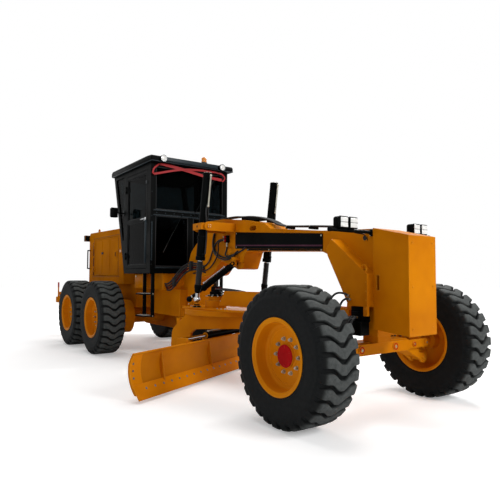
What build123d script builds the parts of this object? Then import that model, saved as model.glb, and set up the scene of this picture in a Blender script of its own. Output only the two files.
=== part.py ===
from build123d import *
import os
from math import cos, pi, radians, sin, tan

os.makedirs("parts", exist_ok=True)

# Six-wheel motor grader, millimetres, +X forward, +Y left, +Z up.
# The origin is on the ground under the middle of the overall length.

# Wheel places
FRONT_AXLE_X = 3900
WHEELBASE = 6110
TANDEM_SPACING = 1522
FRONT_HALF_TRACK = 1075
REAR_HALF_TRACK = 1030
TANDEM_X = FRONT_AXLE_X - WHEELBASE

# Tyres and rims, as flat-sided rings of revolution
TYRE_RADIUS = 660
TYRE_HALF_WIDTH = 220
TREAD_BASE_RADIUS = 614
TREAD_HALF_WIDTH = 196
LUG_COUNT = 30
LUG_LENGTH = 104
LUG_SWEEP = 70
LUG_HALF_WIDTH = 207
RIM_FLANGE_RADIUS = 358
RIM_SEAT_RADIUS = 336
RIM_HALF_WIDTH = 205
RIM_WELL_RADIUS = 326
RIM_DISC_OUT = 62
RIM_PLATE = 28
HUB_RADIUS = 118
FRONT_HUB_OUT = 108
REAR_HUB_OUT = 80
NUT_COUNT = 10
NUT_CIRCLE = 160
NUT_RADIUS = 17
NUT_OUT = 26

# Front axle with leaning wheels
LEAN_PIN_Y = 830
LEAN_PIN_Z = 470
LEAN_LINK = 180
KING_PIN_Y = 900
PIN_RADIUS = 22
PIN_CLEARANCE = 0.05
AXLE_HALF_DEPTH = 90
YOKE_HALF_DEPTH = 48
SIDE_GAP = 6
LEAN_BAR_THICK = 28
KNUCKLE_LOW_Z = 560
KNUCKLE_HIGH_Z = 760
ARM_REACH = 140
TIE_ROD_Z = 600
TIE_ROD_RADIUS = 21

# Main frame
FRAME_WIDTH = 305
NOSE_WIDTH = 620
HITCH_X = FRONT_AXLE_X - 4900
HITCH_PIN_RADIUS = 45
FRONT_BOX_WIDTH = 431
FRONT_BOX_FRONT = 663
FRONT_BOX_REAR = 240
FRONT_BOX_LOW_Z = 830
FRONT_BOX_TOP_Z = 1790
FRONT_BOX_REAR_TOP_Z = 1888
PANEL_THICK = 6
SLOT_X = 300
SLOT_LOW_Z = 1262
SLOT_HIGH_Z = 1408
SLOT_WIDTH = 34
SLOT_DEPTH = 60

# Drawbar, circle and blade
BALL_X = FRONT_AXLE_X - 250
BALL_Z = 1000
CIRCLE_X = FRONT_AXLE_X - 2500
CIRCLE_RADIUS = 765
CIRCLE_BORE = 655
TOOTH_COUNT = 64
TOOTH_HEIGHT = 24
TOOTH_TIP_SHARE = 0.32
TOOTH_ROOT_SHARE = 0.6
CIRCLE_LOW_Z = 860
CIRCLE_HIGH_Z = 930
BLADE_ANGLE = 25.8
BLADE_LENGTH = 4267
BLADE_RADIUS = 413
BLADE_THICK = 22
BLADE_TOP_BACK = 110
BLADE_LOW_BACK = 40
BLADE_LOW_Z = 80
BLADE_HIGH_Z = 530
EDGE_THICK = 18
EDGE_HEIGHT = 152
EDGE_LOW_Z = 28
END_SLANT = 34
END_SLANT_LOW_Z = 415
END_BIT_WIDTH = 170
END_BIT_THICK = 14
ARM_SPREAD = 550
ARM_THICK = 50
CHEEK_SPREAD = 465
TIP_PIN_BACK = 460
TIP_PIN_Z = 300
TIP_PIN_RADIUS = 32
RAIL_WIDTH = 46
RAIL_BACK = 250
RAIL_LOW_Z = 190
RAIL_HIGH_Z = 440
RAIL_LENGTH = 2300

# Hydraulic cylinders: barrel radius, bore radius, rod radius
LIFT_BARREL = 62
LIFT_BORE = 47
LIFT_ROD = 32
LIFT_BALL = 48
SLIDE_BARREL = 45
SLIDE_ROD = 25
SLIDE_BACK = 225
SLIDE_Z = 565
SHIFT_BARREL = 45
SHIFT_BORE = 36
SHIFT_ROD = 26
SHIFT_BALL = 44
SHIFT_STUD = 20
SHIFT_STUD_GAP = 28
LUG_RELIEF = 27
LUG_RELIEF_HIGH_Z = 1600
LIFT_YOKE = (FRONT_AXLE_X - 2480, 600, 2100)
LIFT_EYE = (FRONT_AXLE_X - 2640, 600, 1070)
LIFT_TOP_Z = 2850
LIFT_BARREL_LOW_Z = 1630
SHIFT_TOP = (FRONT_AXLE_X - 2250, -215, 1580)
SHIFT_EYE = (FRONT_AXLE_X - 2950, -550, 1060)

# Upright door hinges
HINGE_PIN = 8
HINGE_RADIUS = 11.5
HINGE_LEAF = 12
HINGE_HEIGHT = 120

# Cab
CAB_FRONT = 3920
CAB_REAR_LOW = 5030
CAB_REAR_HIGH = 5590
CAB_LOW_Z = 1450
CAB_HIGH_Z = 3290
CAB_WIDTH = 1500
CAB_WALL = 45
CAB_POST = 90
BELT_LOW_Z = 2410
BELT_HIGH_Z = 2510
ROOF_WIDTH = 1600
ROOF_THICK = 150
DOOR_FRONT = 4040
DOOR_REAR = 4960
DOOR_LOW_Z = 1530
DOOR_HIGH_Z = 3190
DOOR_FRAME = 60
DOOR_GAP = 6
DOOR_HINGE_Z = [1760, 2960]
HOOD_HINGE_Z = [1560, 2060]
GLASS_THICK = 8

# Rear frame, hood and tandems
HOOD_FRONT = 5650
HOOD_REAR = 7530
HOOD_WIDTH = 1160
HOOD_LOW_Z = 1250
HOOD_HIGH_Z = 2365
HOOD_WALL = 30
HOOD_DOOR_FRONT = 5780
HOOD_DOOR_REAR = 7160
HOOD_DOOR_LOW_Z = 1420
HOOD_DOOR_HIGH_Z = 2200
GRILLE_SLOTS = 9
GRILLE_LOW_Z = 1420
GRILLE_HIGH_Z = 2240
GRILLE_WIDTH = 860
EXHAUST_PLACE = (FRONT_AXLE_X - 6300, 250)
EXHAUST_RADIUS = 58
EXHAUST_TOP_Z = 2960
AIR_CAP_PLACE = (FRONT_AXLE_X - 6300, -110)
REAR_LAMP = (90, 150, 130)
REAR_LAMP_LOW_Z = 2190
REAR_RAIL_WIDTH = 840
CASE_IN_Y = 520
CASE_OUT_Y = 780
CASE_RADIUS = 300
AXLE_TUBE_RADIUS = 200

# Ripper
REAR_END = 8463
RIPPER_PIN_X = FRONT_AXLE_X - 7750
RIPPER_PIN_Z = 780
RIPPER_PIN_RADIUS = 25
TOW_X = FRONT_AXLE_X - 7960
TOW_PIN_RADIUS = 22
RIPPER_BAR_X = FRONT_AXLE_X - REAR_END + 65
RIPPER_BAR_Z = 865
RIPPER_WIDTH = 2100
SHANK_COUNT = 5
MARKER_TOP_Z = 1260
MARKER_RADIUS = 16


def block(x_low, x_high, y_low, y_high, z_low, z_high):
    """Box between two corners."""
    size = (x_high - x_low, y_high - y_low, z_high - z_low)
    return Pos(x_low, y_low, z_low) * Box(*size, align=(Align.MIN, Align.MIN, Align.MIN))


def rod(start, stop, radius):
    """Round bar from one point to another."""
    start, stop = Vector(*start), Vector(*stop)
    along = stop - start
    bar = Cylinder(radius, along.length, align=(Align.CENTER, Align.CENTER, Align.MIN))
    return Plane(origin=start, z_dir=along) * bar


def ball_rod(start, stop, radius, ball, piston, piston_length):
    """Piston, rod and ball as one turned piece, from the piston's face to the ball's centre."""
    start, stop = Vector(*start), Vector(*stop)
    along = stop - start
    length = along.length
    neck = length - (ball**2 - radius**2) ** 0.5
    section = [
        Line((0, 0), (piston, 0)),
        Line((piston, 0), (piston, piston_length)),
        Line((piston, piston_length), (radius, piston_length)),
        Line((radius, piston_length), (radius, neck)),
        ThreePointArc((radius, neck), (ball, length), (0, length + ball)),
        Line((0, length + ball), (0, 0)),
    ]
    turned = revolve(Plane.XZ * make_face(section), Axis.Z)
    return Plane(origin=start, z_dir=along) * turned


def between(start, stop, share):
    """Point at a share of the way from start to stop."""
    return tuple(a + (b - a) * share for a, b in zip(start, stop))


def outline(corners):
    """Closed face from (u, v, corner radius) points."""
    count = len(corners)
    arcs = []
    for i, (u, v, radius) in enumerate(corners):
        here = Vector(u, v)
        back = (Vector(*corners[i - 1][:2]) - here).normalized()
        ahead = (Vector(*corners[(i + 1) % count][:2]) - here).normalized()
        if radius == 0:
            arcs.append((here, here, here))
            continue
        if abs(back.cross(ahead).Z) < 1e-6:
            arcs.append((here, here, here))
            continue
        half = radians(back.get_angle(ahead)) / 2
        centre = here + (back + ahead).normalized() * (radius / sin(half))
        middle = centre + (here - centre).normalized() * radius
        setback = radius / tan(half)
        arcs.append((here + back * setback, middle, here + ahead * setback))
    edges = []
    for i, (start, middle, stop) in enumerate(arcs):
        if (stop - start).length > 0:
            edges.append(ThreePointArc(start, middle, stop))
        following = arcs[(i + 1) % count][0]
        if (following - stop).length > 1e-6:
            edges.append(Line(stop, following))
    return make_face(edges)


def side_plate(corners, y_low, y_high, x_origin=FRONT_AXLE_X):
    """Plate with a side outline of (x behind or ahead of x_origin, z, radius) corners."""
    face = Plane.XZ * outline(corners)
    return Pos(x_origin, y_high, 0) * extrude(face, y_high - y_low)


def front_plate(corners, x_low, x_high):
    """Plate with a front outline of (y, z, radius) corners."""
    return Pos(x_low, 0, 0) * extrude(Plane.YZ * outline(corners), x_high - x_low)


def flat_ring(profile, sides):
    """Ring about the Y axis with flat facets, from (radius, y) points of its section."""
    faces = []
    count = len(profile)

    def corner(index, step):
        radius, y = profile[index % count]
        turn = 2 * pi * (step + 0.5) / sides
        return Vector(radius * sin(turn), y, radius * cos(turn))

    for i in range(count):
        for k in range(sides):
            loop = [corner(i, k), corner(i + 1, k), corner(i + 1, k + 1), corner(i, k + 1)]
            faces.append(Face(Wire.make_polygon(loop, close=True)))
    ring = Solid(Shell(faces))
    return ring if ring.volume > 0 else Solid(ring.wrapped.Reversed())


def save(shape, name):
    """Write one sub-part."""
    if isinstance(shape, (list, tuple)):
        shape = Compound(children=[s for s in shape])
    export_step(shape, f"parts/{name}.step")


def hinge(x, y, z, post, leaf):
    """Upright hinge on one pin: the fixed ears with the pin, and the knuckle that turns.

    post and leaf are the y-facing plates' far x edges on the fixed and the moving side.
    """
    low, high = z - HINGE_HEIGHT / 2, z + HINGE_HEIGHT / 2
    knuckle_low, knuckle_high = z - HINGE_HEIGHT / 6, z + HINGE_HEIGHT / 6
    fixed = rod((x, y, low), (x, y, high), HINGE_PIN)
    for ear_low, ear_high in ((low, knuckle_low - 0.5), (knuckle_high + 0.5, high)):
        fixed = fixed + rod((x, y, ear_low), (x, y, ear_high), HINGE_RADIUS)
        fixed = fixed + block(post, x, y - HINGE_LEAF, y, ear_low, ear_high)
    turning = rod((x, y, knuckle_low), (x, y, knuckle_high), HINGE_RADIUS)
    turning = turning + block(x, leaf, y - HINGE_LEAF, y, knuckle_low, knuckle_high)
    bore = rod((x, y, knuckle_low - 1), (x, y, knuckle_high + 1), HINGE_PIN + PIN_CLEARANCE)
    return fixed, turning - bore


def flip(shape):
    """The same piece on the other side of the machine."""
    return mirror(shape, about=Plane.XZ)


# Tyre: flat-sided carcass and V-shaped lugs that stand on it
TYRE_SECTION = [
    (RIM_SEAT_RADIUS, -RIM_HALF_WIDTH + 22),
    (RIM_SEAT_RADIUS, RIM_HALF_WIDTH - 22),
    (RIM_FLANGE_RADIUS, RIM_HALF_WIDTH),
    (505, TYRE_HALF_WIDTH),
    (TREAD_BASE_RADIUS, TREAD_HALF_WIDTH),
    (TREAD_BASE_RADIUS, -TREAD_HALF_WIDTH),
    (505, -TYRE_HALF_WIDTH),
    (RIM_FLANGE_RADIUS, -RIM_HALF_WIDTH),
]


def build_tyre():
    """Tyre about the Y axis, its V lugs pointing down at the front."""
    reach = (LUG_SWEEP + LUG_LENGTH) / 2
    top = (TYRE_RADIUS**2 - reach**2) ** 0.5
    chevron = [
        (-reach, -LUG_HALF_WIDTH, 0),
        (-reach + LUG_LENGTH, -LUG_HALF_WIDTH, 0),
        (reach, 0, 0),
        (-reach + LUG_LENGTH, LUG_HALF_WIDTH, 0),
        (-reach, LUG_HALF_WIDTH, 0),
        (reach - LUG_LENGTH, 0, 0),
    ]
    foot = TREAD_BASE_RADIUS - 40
    lug = Pos(0, 0, foot) * extrude(outline(chevron), top - foot)
    lugs = [Rot(0, 360 * k / LUG_COUNT, 0) * lug for k in range(LUG_COUNT)]
    return flat_ring(TYRE_SECTION, LUG_COUNT) + lugs


TYRE = build_tyre()
AXLE_Z = -TYRE.bounding_box().min.Z


def build_rim(hub_out, stub_in):
    """Dished rim about the Y axis, open side towards +Y, with its hub."""
    disc_in = RIM_DISC_OUT - RIM_PLATE
    section = [
        (RIM_SEAT_RADIUS, -RIM_HALF_WIDTH + 22),
        (RIM_FLANGE_RADIUS, -RIM_HALF_WIDTH),
        (RIM_WELL_RADIUS, -RIM_HALF_WIDTH),
        (RIM_WELL_RADIUS - 12, disc_in),
        (HUB_RADIUS - 20, disc_in),
        (HUB_RADIUS - 20, RIM_DISC_OUT),
        (RIM_WELL_RADIUS - 12, RIM_DISC_OUT + 12),
        (RIM_WELL_RADIUS, RIM_HALF_WIDTH),
        (RIM_FLANGE_RADIUS, RIM_HALF_WIDTH),
        (RIM_SEAT_RADIUS, RIM_HALF_WIDTH - 22),
    ]
    rim = flat_ring(section, LUG_COUNT) + rod((0, -stub_in, 0), (0, hub_out, 0), HUB_RADIUS)
    nut = Pos(0, RIM_DISC_OUT - 2, 0) * extrude(Plane.XZ * RegularPolygon(NUT_RADIUS, 6), -NUT_OUT - 2)
    turns = [Rot(0, 360 * (k + 0.5) / NUT_COUNT, 0) for k in range(NUT_COUNT)]
    return rim + [turn * Pos(0, 0, NUT_CIRCLE) * nut for turn in turns]


def place_wheel(name, x, side, half_track, rim):
    """Write a rim and its tyre at one wheel place."""
    turned = rim if side > 0 else flip(rim)
    place = Pos(x, side * half_track, AXLE_Z)
    save(place * turned, f"rim_{name}")
    save(place * TYRE, f"tyre_{name}")


FRONT_STUB = FRONT_HALF_TRACK - KING_PIN_Y - 110
REAR_STUB = REAR_HALF_TRACK - CASE_OUT_Y - 0.3
FRONT_RIM = build_rim(FRONT_HUB_OUT, FRONT_STUB)
REAR_RIM = build_rim(REAR_HUB_OUT, REAR_STUB)
for side_name, side in (("left", 1), ("right", -1)):
    place_wheel(f"front_{side_name}", FRONT_AXLE_X, side, FRONT_HALF_TRACK, FRONT_RIM)
    for row_name, ahead in (("mid", TANDEM_SPACING / 2), ("rear", -TANDEM_SPACING / 2)):
        place_wheel(f"{row_name}_{side_name}", TANDEM_X + ahead, side, REAR_HALF_TRACK, REAR_RIM)

# Main frame: beam, arched gooseneck, tail under the cab, nose and brackets
HALF_FRAME = FRAME_WIDTH / 2
FRAME_OUTLINE = [
    (FRONT_BOX_REAR, 1885, 0),
    (-550, 1925, 60),
    (-1500, 2025, 60),
    (-1640, 2110, 60),
    (-2130, 2198, 200),
    (-2640, 2256, 200),
    (-3330, 2265, 70),
    (-3360, 1990, 120),
    (-3620, 1800, 150),
    (-3770, 1500, 200),
    (-3880, 1260, 150),
    (-4150, 1180, 60),
    (-4760, 1180, 0),
    (-4760, 740, 0),
    (-3720, 740, 150),
    (-3350, 1385, 100),
    (-2960, 1420, 150),
    (-2700, 1640, 60),
    (-2571, 1600, 30),
    (-2290, 1500, 40),
    (-2180, 1505, 40),
    (-2060, 1755, 60),
    (-560, 1690, 40),
    (-405, 1628, 40),
    (-234, 1229, 60),
    (-120, 1040, 60),
    (0, 790, 0),
    (FRONT_BOX_REAR, 790, 0),
]
CHEEK_OUTLINE = [
    (FRONT_BOX_REAR, 1418, 0),
    (-247, 1800, 0),
    (-330, 1700, 40),
    (-306, 1622, 60),
    (-121, 1297, 60),
    (-10, 1095, 0),
    (FRONT_BOX_REAR, 1095, 0),
]
LIGHTENING_HOLE = (-1897, 2062, 74, 34)


def build_main_frame():
    """Frame side plates with the wider nose, hitch ears, ball bracket and lightening hole."""
    beam = side_plate(FRAME_OUTLINE, -HALF_FRAME, HALF_FRAME)
    cheeks = side_plate(CHEEK_OUTLINE, -NOSE_WIDTH / 2, NOSE_WIDTH / 2)
    hole_x, hole_z, half_length, radius = LIGHTENING_HOLE
    slot = [
        (hole_x - half_length, hole_z - radius, radius * 0.98),
        (hole_x + half_length, hole_z - radius, radius * 0.98),
        (hole_x + half_length, hole_z + radius, radius * 0.98),
        (hole_x - half_length, hole_z + radius, radius * 0.98),
    ]
    frame = beam + cheeks - side_plate(slot, -HALF_FRAME - 10, HALF_FRAME + 10)
    x, y, z = SHIFT_TOP
    relief = block(x - 230, x + 110, -HALF_FRAME - 1, -HALF_FRAME + LUG_RELIEF, z - 100, LUG_RELIEF_HIGH_Z)
    frame = frame - relief
    for z_low, z_high in ((BALL_Z + 60, BALL_Z + 100), (BALL_Z - 100, BALL_Z - 60)):
        ear = block(BALL_X, FRONT_AXLE_X - 60, -50, 50, z_low, z_high)
        tip = rod((BALL_X, 0, z_low), (BALL_X, 0, z_high), 50)
        bore = rod((BALL_X, 0, z_low - 1), (BALL_X, 0, z_high + 1), PIN_RADIUS + PIN_CLEARANCE)
        frame = frame + ear + tip - bore
    hitch_x = FRONT_AXLE_X - 4760
    for z_low, z_high in ((1080, 1180), (740, 840)):
        ear = block(HITCH_X, hitch_x + 100, -130, 130, z_low, z_high)
        tip = rod((HITCH_X, 0, z_low), (HITCH_X, 0, z_high), 130)
        bore = rod((HITCH_X, 0, z_low - 1), (HITCH_X, 0, z_high + 1), HITCH_PIN_RADIUS)
        frame = frame + ear + tip - bore
    frame = frame + block(FRONT_AXLE_X - 4760, FRONT_AXLE_X - 3720, -300, 300, 740, 1180)
    axle_seat = block(FRONT_AXLE_X, FRONT_AXLE_X + 200, -100, 100, 717, 790)
    return frame + axle_seat


save(build_main_frame(), "main_frame")
base = block(FRONT_AXLE_X - 5000, FRONT_AXLE_X - 3950, -500, 500, 1180, CAB_LOW_Z - 0.3)
base = base - side_plate(FRAME_OUTLINE, -HALF_FRAME, HALF_FRAME)
save(base, "cab_base")

# Flat cover plates on both sides of the beam
PANEL_OUTLINE = [
    (-535, 1712, 12),
    (-535, 1893, 12),
    (-1480, 1968, 60),
    (-2315, 2037, 12),
    (-2315, 1800, 12),
]
panel = side_plate(PANEL_OUTLINE, HALF_FRAME + 0.3, HALF_FRAME + 0.3 + PANEL_THICK)
save([panel, flip(panel)], "beam_panels")

# Ballast box on the nose
BOX_OUTLINE = [
    (FRONT_BOX_FRONT, FRONT_BOX_LOW_Z, 0),
    (FRONT_BOX_FRONT, FRONT_BOX_TOP_Z, 0),
    (FRONT_BOX_REAR, FRONT_BOX_REAR_TOP_Z, 0),
    (FRONT_BOX_REAR, FRONT_BOX_LOW_Z + 40, 0),
]


def build_front_box():
    """Closed ballast box with a deep hand slot in each side."""
    half = FRONT_BOX_WIDTH / 2
    box = side_plate(BOX_OUTLINE, -half, half)
    slot_x = (FRONT_AXLE_X + SLOT_X - SLOT_WIDTH / 2, FRONT_AXLE_X + SLOT_X + SLOT_WIDTH / 2)
    slot = block(*slot_x, half - SLOT_DEPTH, half + 1, SLOT_LOW_Z, SLOT_HIGH_Z)
    return box - slot - flip(slot)


save(build_front_box(), "front_box")

# Twin lamps on a bar over the nose, and a lamp behind each cab door
LAMP_X = FRONT_AXLE_X + 170
LAMP_BAR_Z = 1908
LAMP_SIZE = 118
LAMP_PLACES = [-790, -655, 655, 790]
CAB_LAMP_X = FRONT_AXLE_X - 5060
CAB_LAMP_Z = 2550
CAB_LAMP_OUT = 885


def build_work_lamps():
    """Lamp bar with its four square lamps."""
    pieces = rod((LAMP_X, -940, LAMP_BAR_Z), (LAMP_X, 940, LAMP_BAR_Z), 19)
    for y in LAMP_PLACES:
        half = LAMP_SIZE / 2
        case = [
            (-half, LAMP_BAR_Z + 12, 12),
            (half, LAMP_BAR_Z + 12, 12),
            (half, LAMP_BAR_Z + 12 + LAMP_SIZE, 12),
            (-half, LAMP_BAR_Z + 12 + LAMP_SIZE, 12),
        ]
        pieces = pieces + side_plate(case, y - half, y + half, LAMP_X)
    return pieces


def build_cab_lamp():
    """Left boxed lamp on a short arm from the cab's rear post."""
    x, z = CAB_LAMP_X, CAB_LAMP_Z
    case = block(x - 50, x + 50, CAB_LAMP_OUT, CAB_LAMP_OUT + 130, z - 90, z + 90)
    arm = rod((x - 5, CAB_WIDTH / 2 + 0.3, z), (x - 5, CAB_LAMP_OUT, z), 16)
    return case + arm


cab_lamp = build_cab_lamp()
save([build_work_lamps(), cab_lamp, flip(cab_lamp)], "work_lamps")

# Front axle with its fork ends, steering cylinder and brackets
LEAN_TOP_Z = LEAN_PIN_Z + LEAN_LINK
AXLE_OUTLINE = [
    (-740, 470, 30),
    (-500, 590, 40),
    (500, 590, 40),
    (740, 470, 30),
    (740, 565, 30),
    (510, 717, 40),
    (-510, 717, 40),
    (-740, 565, 30),
]


def build_front_axle():
    """Axle beam with a fork at each end and the steering cylinder behind it."""
    half = AXLE_HALF_DEPTH
    axle = front_plate(AXLE_OUTLINE, FRONT_AXLE_X - half, FRONT_AXLE_X + half)
    for side in (-1, 1):
        for face in (-1, 1):
            inner = FRONT_AXLE_X + face * (YOKE_HALF_DEPTH + SIDE_GAP)
            outer = FRONT_AXLE_X + face * half
            ear = [
                (side * 690, 540, 0),
                (side * LEAN_PIN_Y, LEAN_PIN_Z + 55, 0),
                (side * LEAN_PIN_Y, LEAN_PIN_Z - 55, 0),
                (side * 690, 500, 0),
            ]
            x_low, x_high = sorted((inner, outer))
            axle = axle + front_plate(ear, x_low, x_high)
            eye = (side * LEAN_PIN_Y, LEAN_PIN_Z)
            axle = axle + rod((x_low, *eye), (x_high, *eye), 55)
        pin = (side * LEAN_PIN_Y, LEAN_PIN_Z)
        axle = axle + rod((FRONT_AXLE_X - half, *pin), (FRONT_AXLE_X + half, *pin), PIN_RADIUS)
    rod_x = FRONT_AXLE_X - ARM_REACH
    barrel = rod((rod_x, -290, TIE_ROD_Z), (rod_x, 290, TIE_ROD_Z), 48)
    bore = rod((rod_x, -291, TIE_ROD_Z), (rod_x, 291, TIE_ROD_Z), TIE_ROD_RADIUS + PIN_CLEARANCE)
    for y in (-230, 170):
        axle = axle + block(rod_x, FRONT_AXLE_X - half, y, y + 60, TIE_ROD_Z - 20, TIE_ROD_Z + 20)
    return axle + barrel - bore


save(build_front_axle(), "front_axle")
rod_x = FRONT_AXLE_X - ARM_REACH
TIE_ROD_END = KING_PIN_Y - 10
tie_rod = rod((rod_x, -TIE_ROD_END, TIE_ROD_Z), (rod_x, TIE_ROD_END, TIE_ROD_Z), TIE_ROD_RADIUS)
save(tie_rod, "tie_rod")


def build_lean_yoke():
    """Left C-shaped yoke that leans on the axle and holds the king pin."""
    half = YOKE_HALF_DEPTH
    plate = [
        (LEAN_PIN_Y - 42, LEAN_PIN_Z - 30, 20),
        (LEAN_PIN_Y + 36, LEAN_PIN_Z - 30, 20),
        (KING_PIN_Y + 50, KNUCKLE_LOW_Z - 60, 0),
        (KING_PIN_Y + 50, KNUCKLE_LOW_Z - SIDE_GAP, 0),
        (KING_PIN_Y - 56, KNUCKLE_LOW_Z - SIDE_GAP, 0),
        (KING_PIN_Y - 56, KNUCKLE_HIGH_Z + SIDE_GAP, 0),
        (KING_PIN_Y + 50, KNUCKLE_HIGH_Z + SIDE_GAP, 0),
        (KING_PIN_Y + 50, KNUCKLE_HIGH_Z + 56, 20),
        (LEAN_PIN_Y - 30, KNUCKLE_HIGH_Z + 56, 40),
        (LEAN_PIN_Y - 42, LEAN_TOP_Z, 0),
    ]
    yoke = front_plate(plate, FRONT_AXLE_X - half, FRONT_AXLE_X + half)
    bore_x = (FRONT_AXLE_X - half - 1, FRONT_AXLE_X + half + 1)
    bore = rod(
        (bore_x[0], LEAN_PIN_Y, LEAN_PIN_Z),
        (bore_x[1], LEAN_PIN_Y, LEAN_PIN_Z),
        PIN_RADIUS + PIN_CLEARANCE,
    )
    bar_face = FRONT_AXLE_X + AXLE_HALF_DEPTH + SIDE_GAP + LEAN_BAR_THICK
    bar_pin = rod(
        (FRONT_AXLE_X + half - 8, LEAN_PIN_Y, LEAN_TOP_Z),
        (bar_face, LEAN_PIN_Y, LEAN_TOP_Z),
        PIN_RADIUS,
    )
    king = rod(
        (FRONT_AXLE_X, KING_PIN_Y, KNUCKLE_LOW_Z - 60),
        (FRONT_AXLE_X, KING_PIN_Y, KNUCKLE_HIGH_Z + 56),
        PIN_RADIUS,
    )
    return yoke - bore + bar_pin + king


def build_knuckle():
    """Left knuckle that turns on the king pin, with its steering arm and spindle."""
    body = rod(
        (FRONT_AXLE_X, KING_PIN_Y, KNUCKLE_LOW_Z),
        (FRONT_AXLE_X, KING_PIN_Y, KNUCKLE_HIGH_Z),
        50,
    )
    spindle_end = FRONT_HALF_TRACK - FRONT_STUB - 0.3
    spindle = rod((FRONT_AXLE_X, KING_PIN_Y, AXLE_Z), (FRONT_AXLE_X, spindle_end, AXLE_Z), 62)
    arm_z = (TIE_ROD_Z + 60, TIE_ROD_Z + 90)
    arm = [
        (-20, KING_PIN_Y + 60, 0),
        (-70, KING_PIN_Y + 60, 0),
        (-ARM_REACH - 26, KING_PIN_Y + 24, 20),
        (-ARM_REACH - 26, KING_PIN_Y - 24, 20),
        (-ARM_REACH + 24, KING_PIN_Y - 24, 20),
        (-20, KING_PIN_Y + 34, 0),
    ]
    lever = Pos(FRONT_AXLE_X, 0, arm_z[0]) * extrude(outline(arm), arm_z[1] - arm_z[0])
    bore = rod(
        (FRONT_AXLE_X, KING_PIN_Y, KNUCKLE_LOW_Z - 1),
        (FRONT_AXLE_X, KING_PIN_Y, KNUCKLE_HIGH_Z + 1),
        PIN_RADIUS + PIN_CLEARANCE,
    )
    return body + spindle + lever - bore


YOKE = build_lean_yoke()
KNUCKLE = build_knuckle()
save(YOKE, "lean_yoke_left")
save(flip(YOKE), "lean_yoke_right")
save(KNUCKLE, "knuckle_left")
save(flip(KNUCKLE), "knuckle_right")


def build_lean_bar():
    """Bar across the front that keeps both wheels at one lean."""
    x_low = FRONT_AXLE_X + AXLE_HALF_DEPTH + SIDE_GAP
    corners = [
        (-LEAN_PIN_Y - 50, LEAN_TOP_Z - 48, 40),
        (-520, LEAN_TOP_Z - 48, 0),
        (-490, LEAN_TOP_Z - 62, 0),
        (490, LEAN_TOP_Z - 62, 0),
        (520, LEAN_TOP_Z - 48, 0),
        (LEAN_PIN_Y + 50, LEAN_TOP_Z - 48, 40),
        (LEAN_PIN_Y + 50, LEAN_TOP_Z + 44, 40),
        (520, LEAN_TOP_Z + 44, 0),
        (490, LEAN_TOP_Z + 54, 0),
        (-490, LEAN_TOP_Z + 54, 0),
        (-520, LEAN_TOP_Z + 44, 0),
        (-LEAN_PIN_Y - 50, LEAN_TOP_Z + 44, 40),
    ]
    bar = front_plate(corners, x_low, x_low + LEAN_BAR_THICK)
    for side in (-1, 1):
        pin = (side * LEAN_PIN_Y, LEAN_TOP_Z)
        bore = rod((x_low - 1, *pin), (x_low + LEAN_BAR_THICK + 1, *pin), PIN_RADIUS + PIN_CLEARANCE)
        bar = bar - bore
    return bar


save(build_lean_bar(), "lean_bar")

# Drawbar on its universal pivot
SWIVEL_HALF = 50


def build_swivel():
    """Cross of the drawbar's universal pivot: an upright pin and a crosswise pin."""
    body = rod((BALL_X, 0, BALL_Z - 59), (BALL_X, 0, BALL_Z + 59), SWIVEL_HALF)
    upright = rod((BALL_X, 0, BALL_Z - 100), (BALL_X, 0, BALL_Z + 100), PIN_RADIUS)
    across = rod((BALL_X, -92, BALL_Z), (BALL_X, 92, BALL_Z), PIN_RADIUS)
    return body + upright + across


save(build_swivel(), "drawbar_swivel")

TABLE_LOW_Z = CIRCLE_HIGH_Z + 0.3
TABLE_HIGH_Z = TABLE_LOW_Z + 28
RAIL_TOP_Z = 1200
BALL_GAP = 6
DRAWBAR_OUTLINE = [
    (-345, -92, 0),
    (-345, 92, 0),
    (-700, 150, 100),
    (-1700, 520, 200),
    (-2250, 680, 200),
    (-2760, 680, 150),
    (-3040, 380, 100),
    (-3040, -640, 60),
    (-2760, -680, 150),
    (-2250, -680, 200),
    (-1700, -520, 200),
    (-700, -150, 100),
]


def build_drawbar():
    """A-shaped drawbar: fork, raised side rails, table over the circle and ball posts."""
    table = extrude(outline(DRAWBAR_OUTLINE), TABLE_HIGH_Z - TABLE_LOW_Z)
    drawbar = Pos(FRONT_AXLE_X, 0, TABLE_LOW_Z) * table
    neck = block(BALL_X - 260, BALL_X - 90, -92, 92, BALL_Z - 45, BALL_Z + 55)
    drawbar = drawbar + neck
    for side in (-1, 1):
        ear_y = sorted((side * 60, side * 92))
        ear = [(0, -50, 0), (0, 50, 0), (-120, 50, 0), (-120, -45, 0)]
        plate = side_plate([(u, v + BALL_Z, r) for u, v, r in ear], *ear_y, BALL_X)
        tip = rod((BALL_X, ear_y[0], BALL_Z), (BALL_X, ear_y[1], BALL_Z), 50)
        bore = rod(
            (BALL_X, ear_y[0] - 1, BALL_Z),
            (BALL_X, ear_y[1] + 1, BALL_Z),
            PIN_RADIUS + PIN_CLEARANCE,
        )
        drawbar = drawbar + plate + tip - bore
        rail = [
            (-500, side * 60, 0),
            (-500, side * 92, 0),
            (-2180, side * 520, 0),
            (-2180, side * 488, 0),
        ]
        high = Pos(FRONT_AXLE_X, 0, TABLE_HIGH_Z - 1) * extrude(
            outline(rail), RAIL_TOP_Z - TABLE_HIGH_Z + 1
        )
        wedge = side_plate(
            [(-400, 1040, 0), (-900, RAIL_TOP_Z, 0), (-2080, RAIL_TOP_Z, 0), (-2180, 1000, 0), (-400, 980, 0)],
            -600,
            600,
        )
        drawbar = drawbar + (high & wedge)
        x, y, z = LIFT_EYE
        stud_top = z - LIFT_BALL - BALL_GAP
        drawbar = drawbar + rod((x, side * y, TABLE_LOW_Z), (x, side * y, stud_top), 34)
    x, y, z = SHIFT_EYE
    drawbar = drawbar + rod((x, y, TABLE_LOW_Z), (x, y, z - SHIFT_BALL - SHIFT_STUD_GAP), SHIFT_STUD)
    return drawbar


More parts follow.
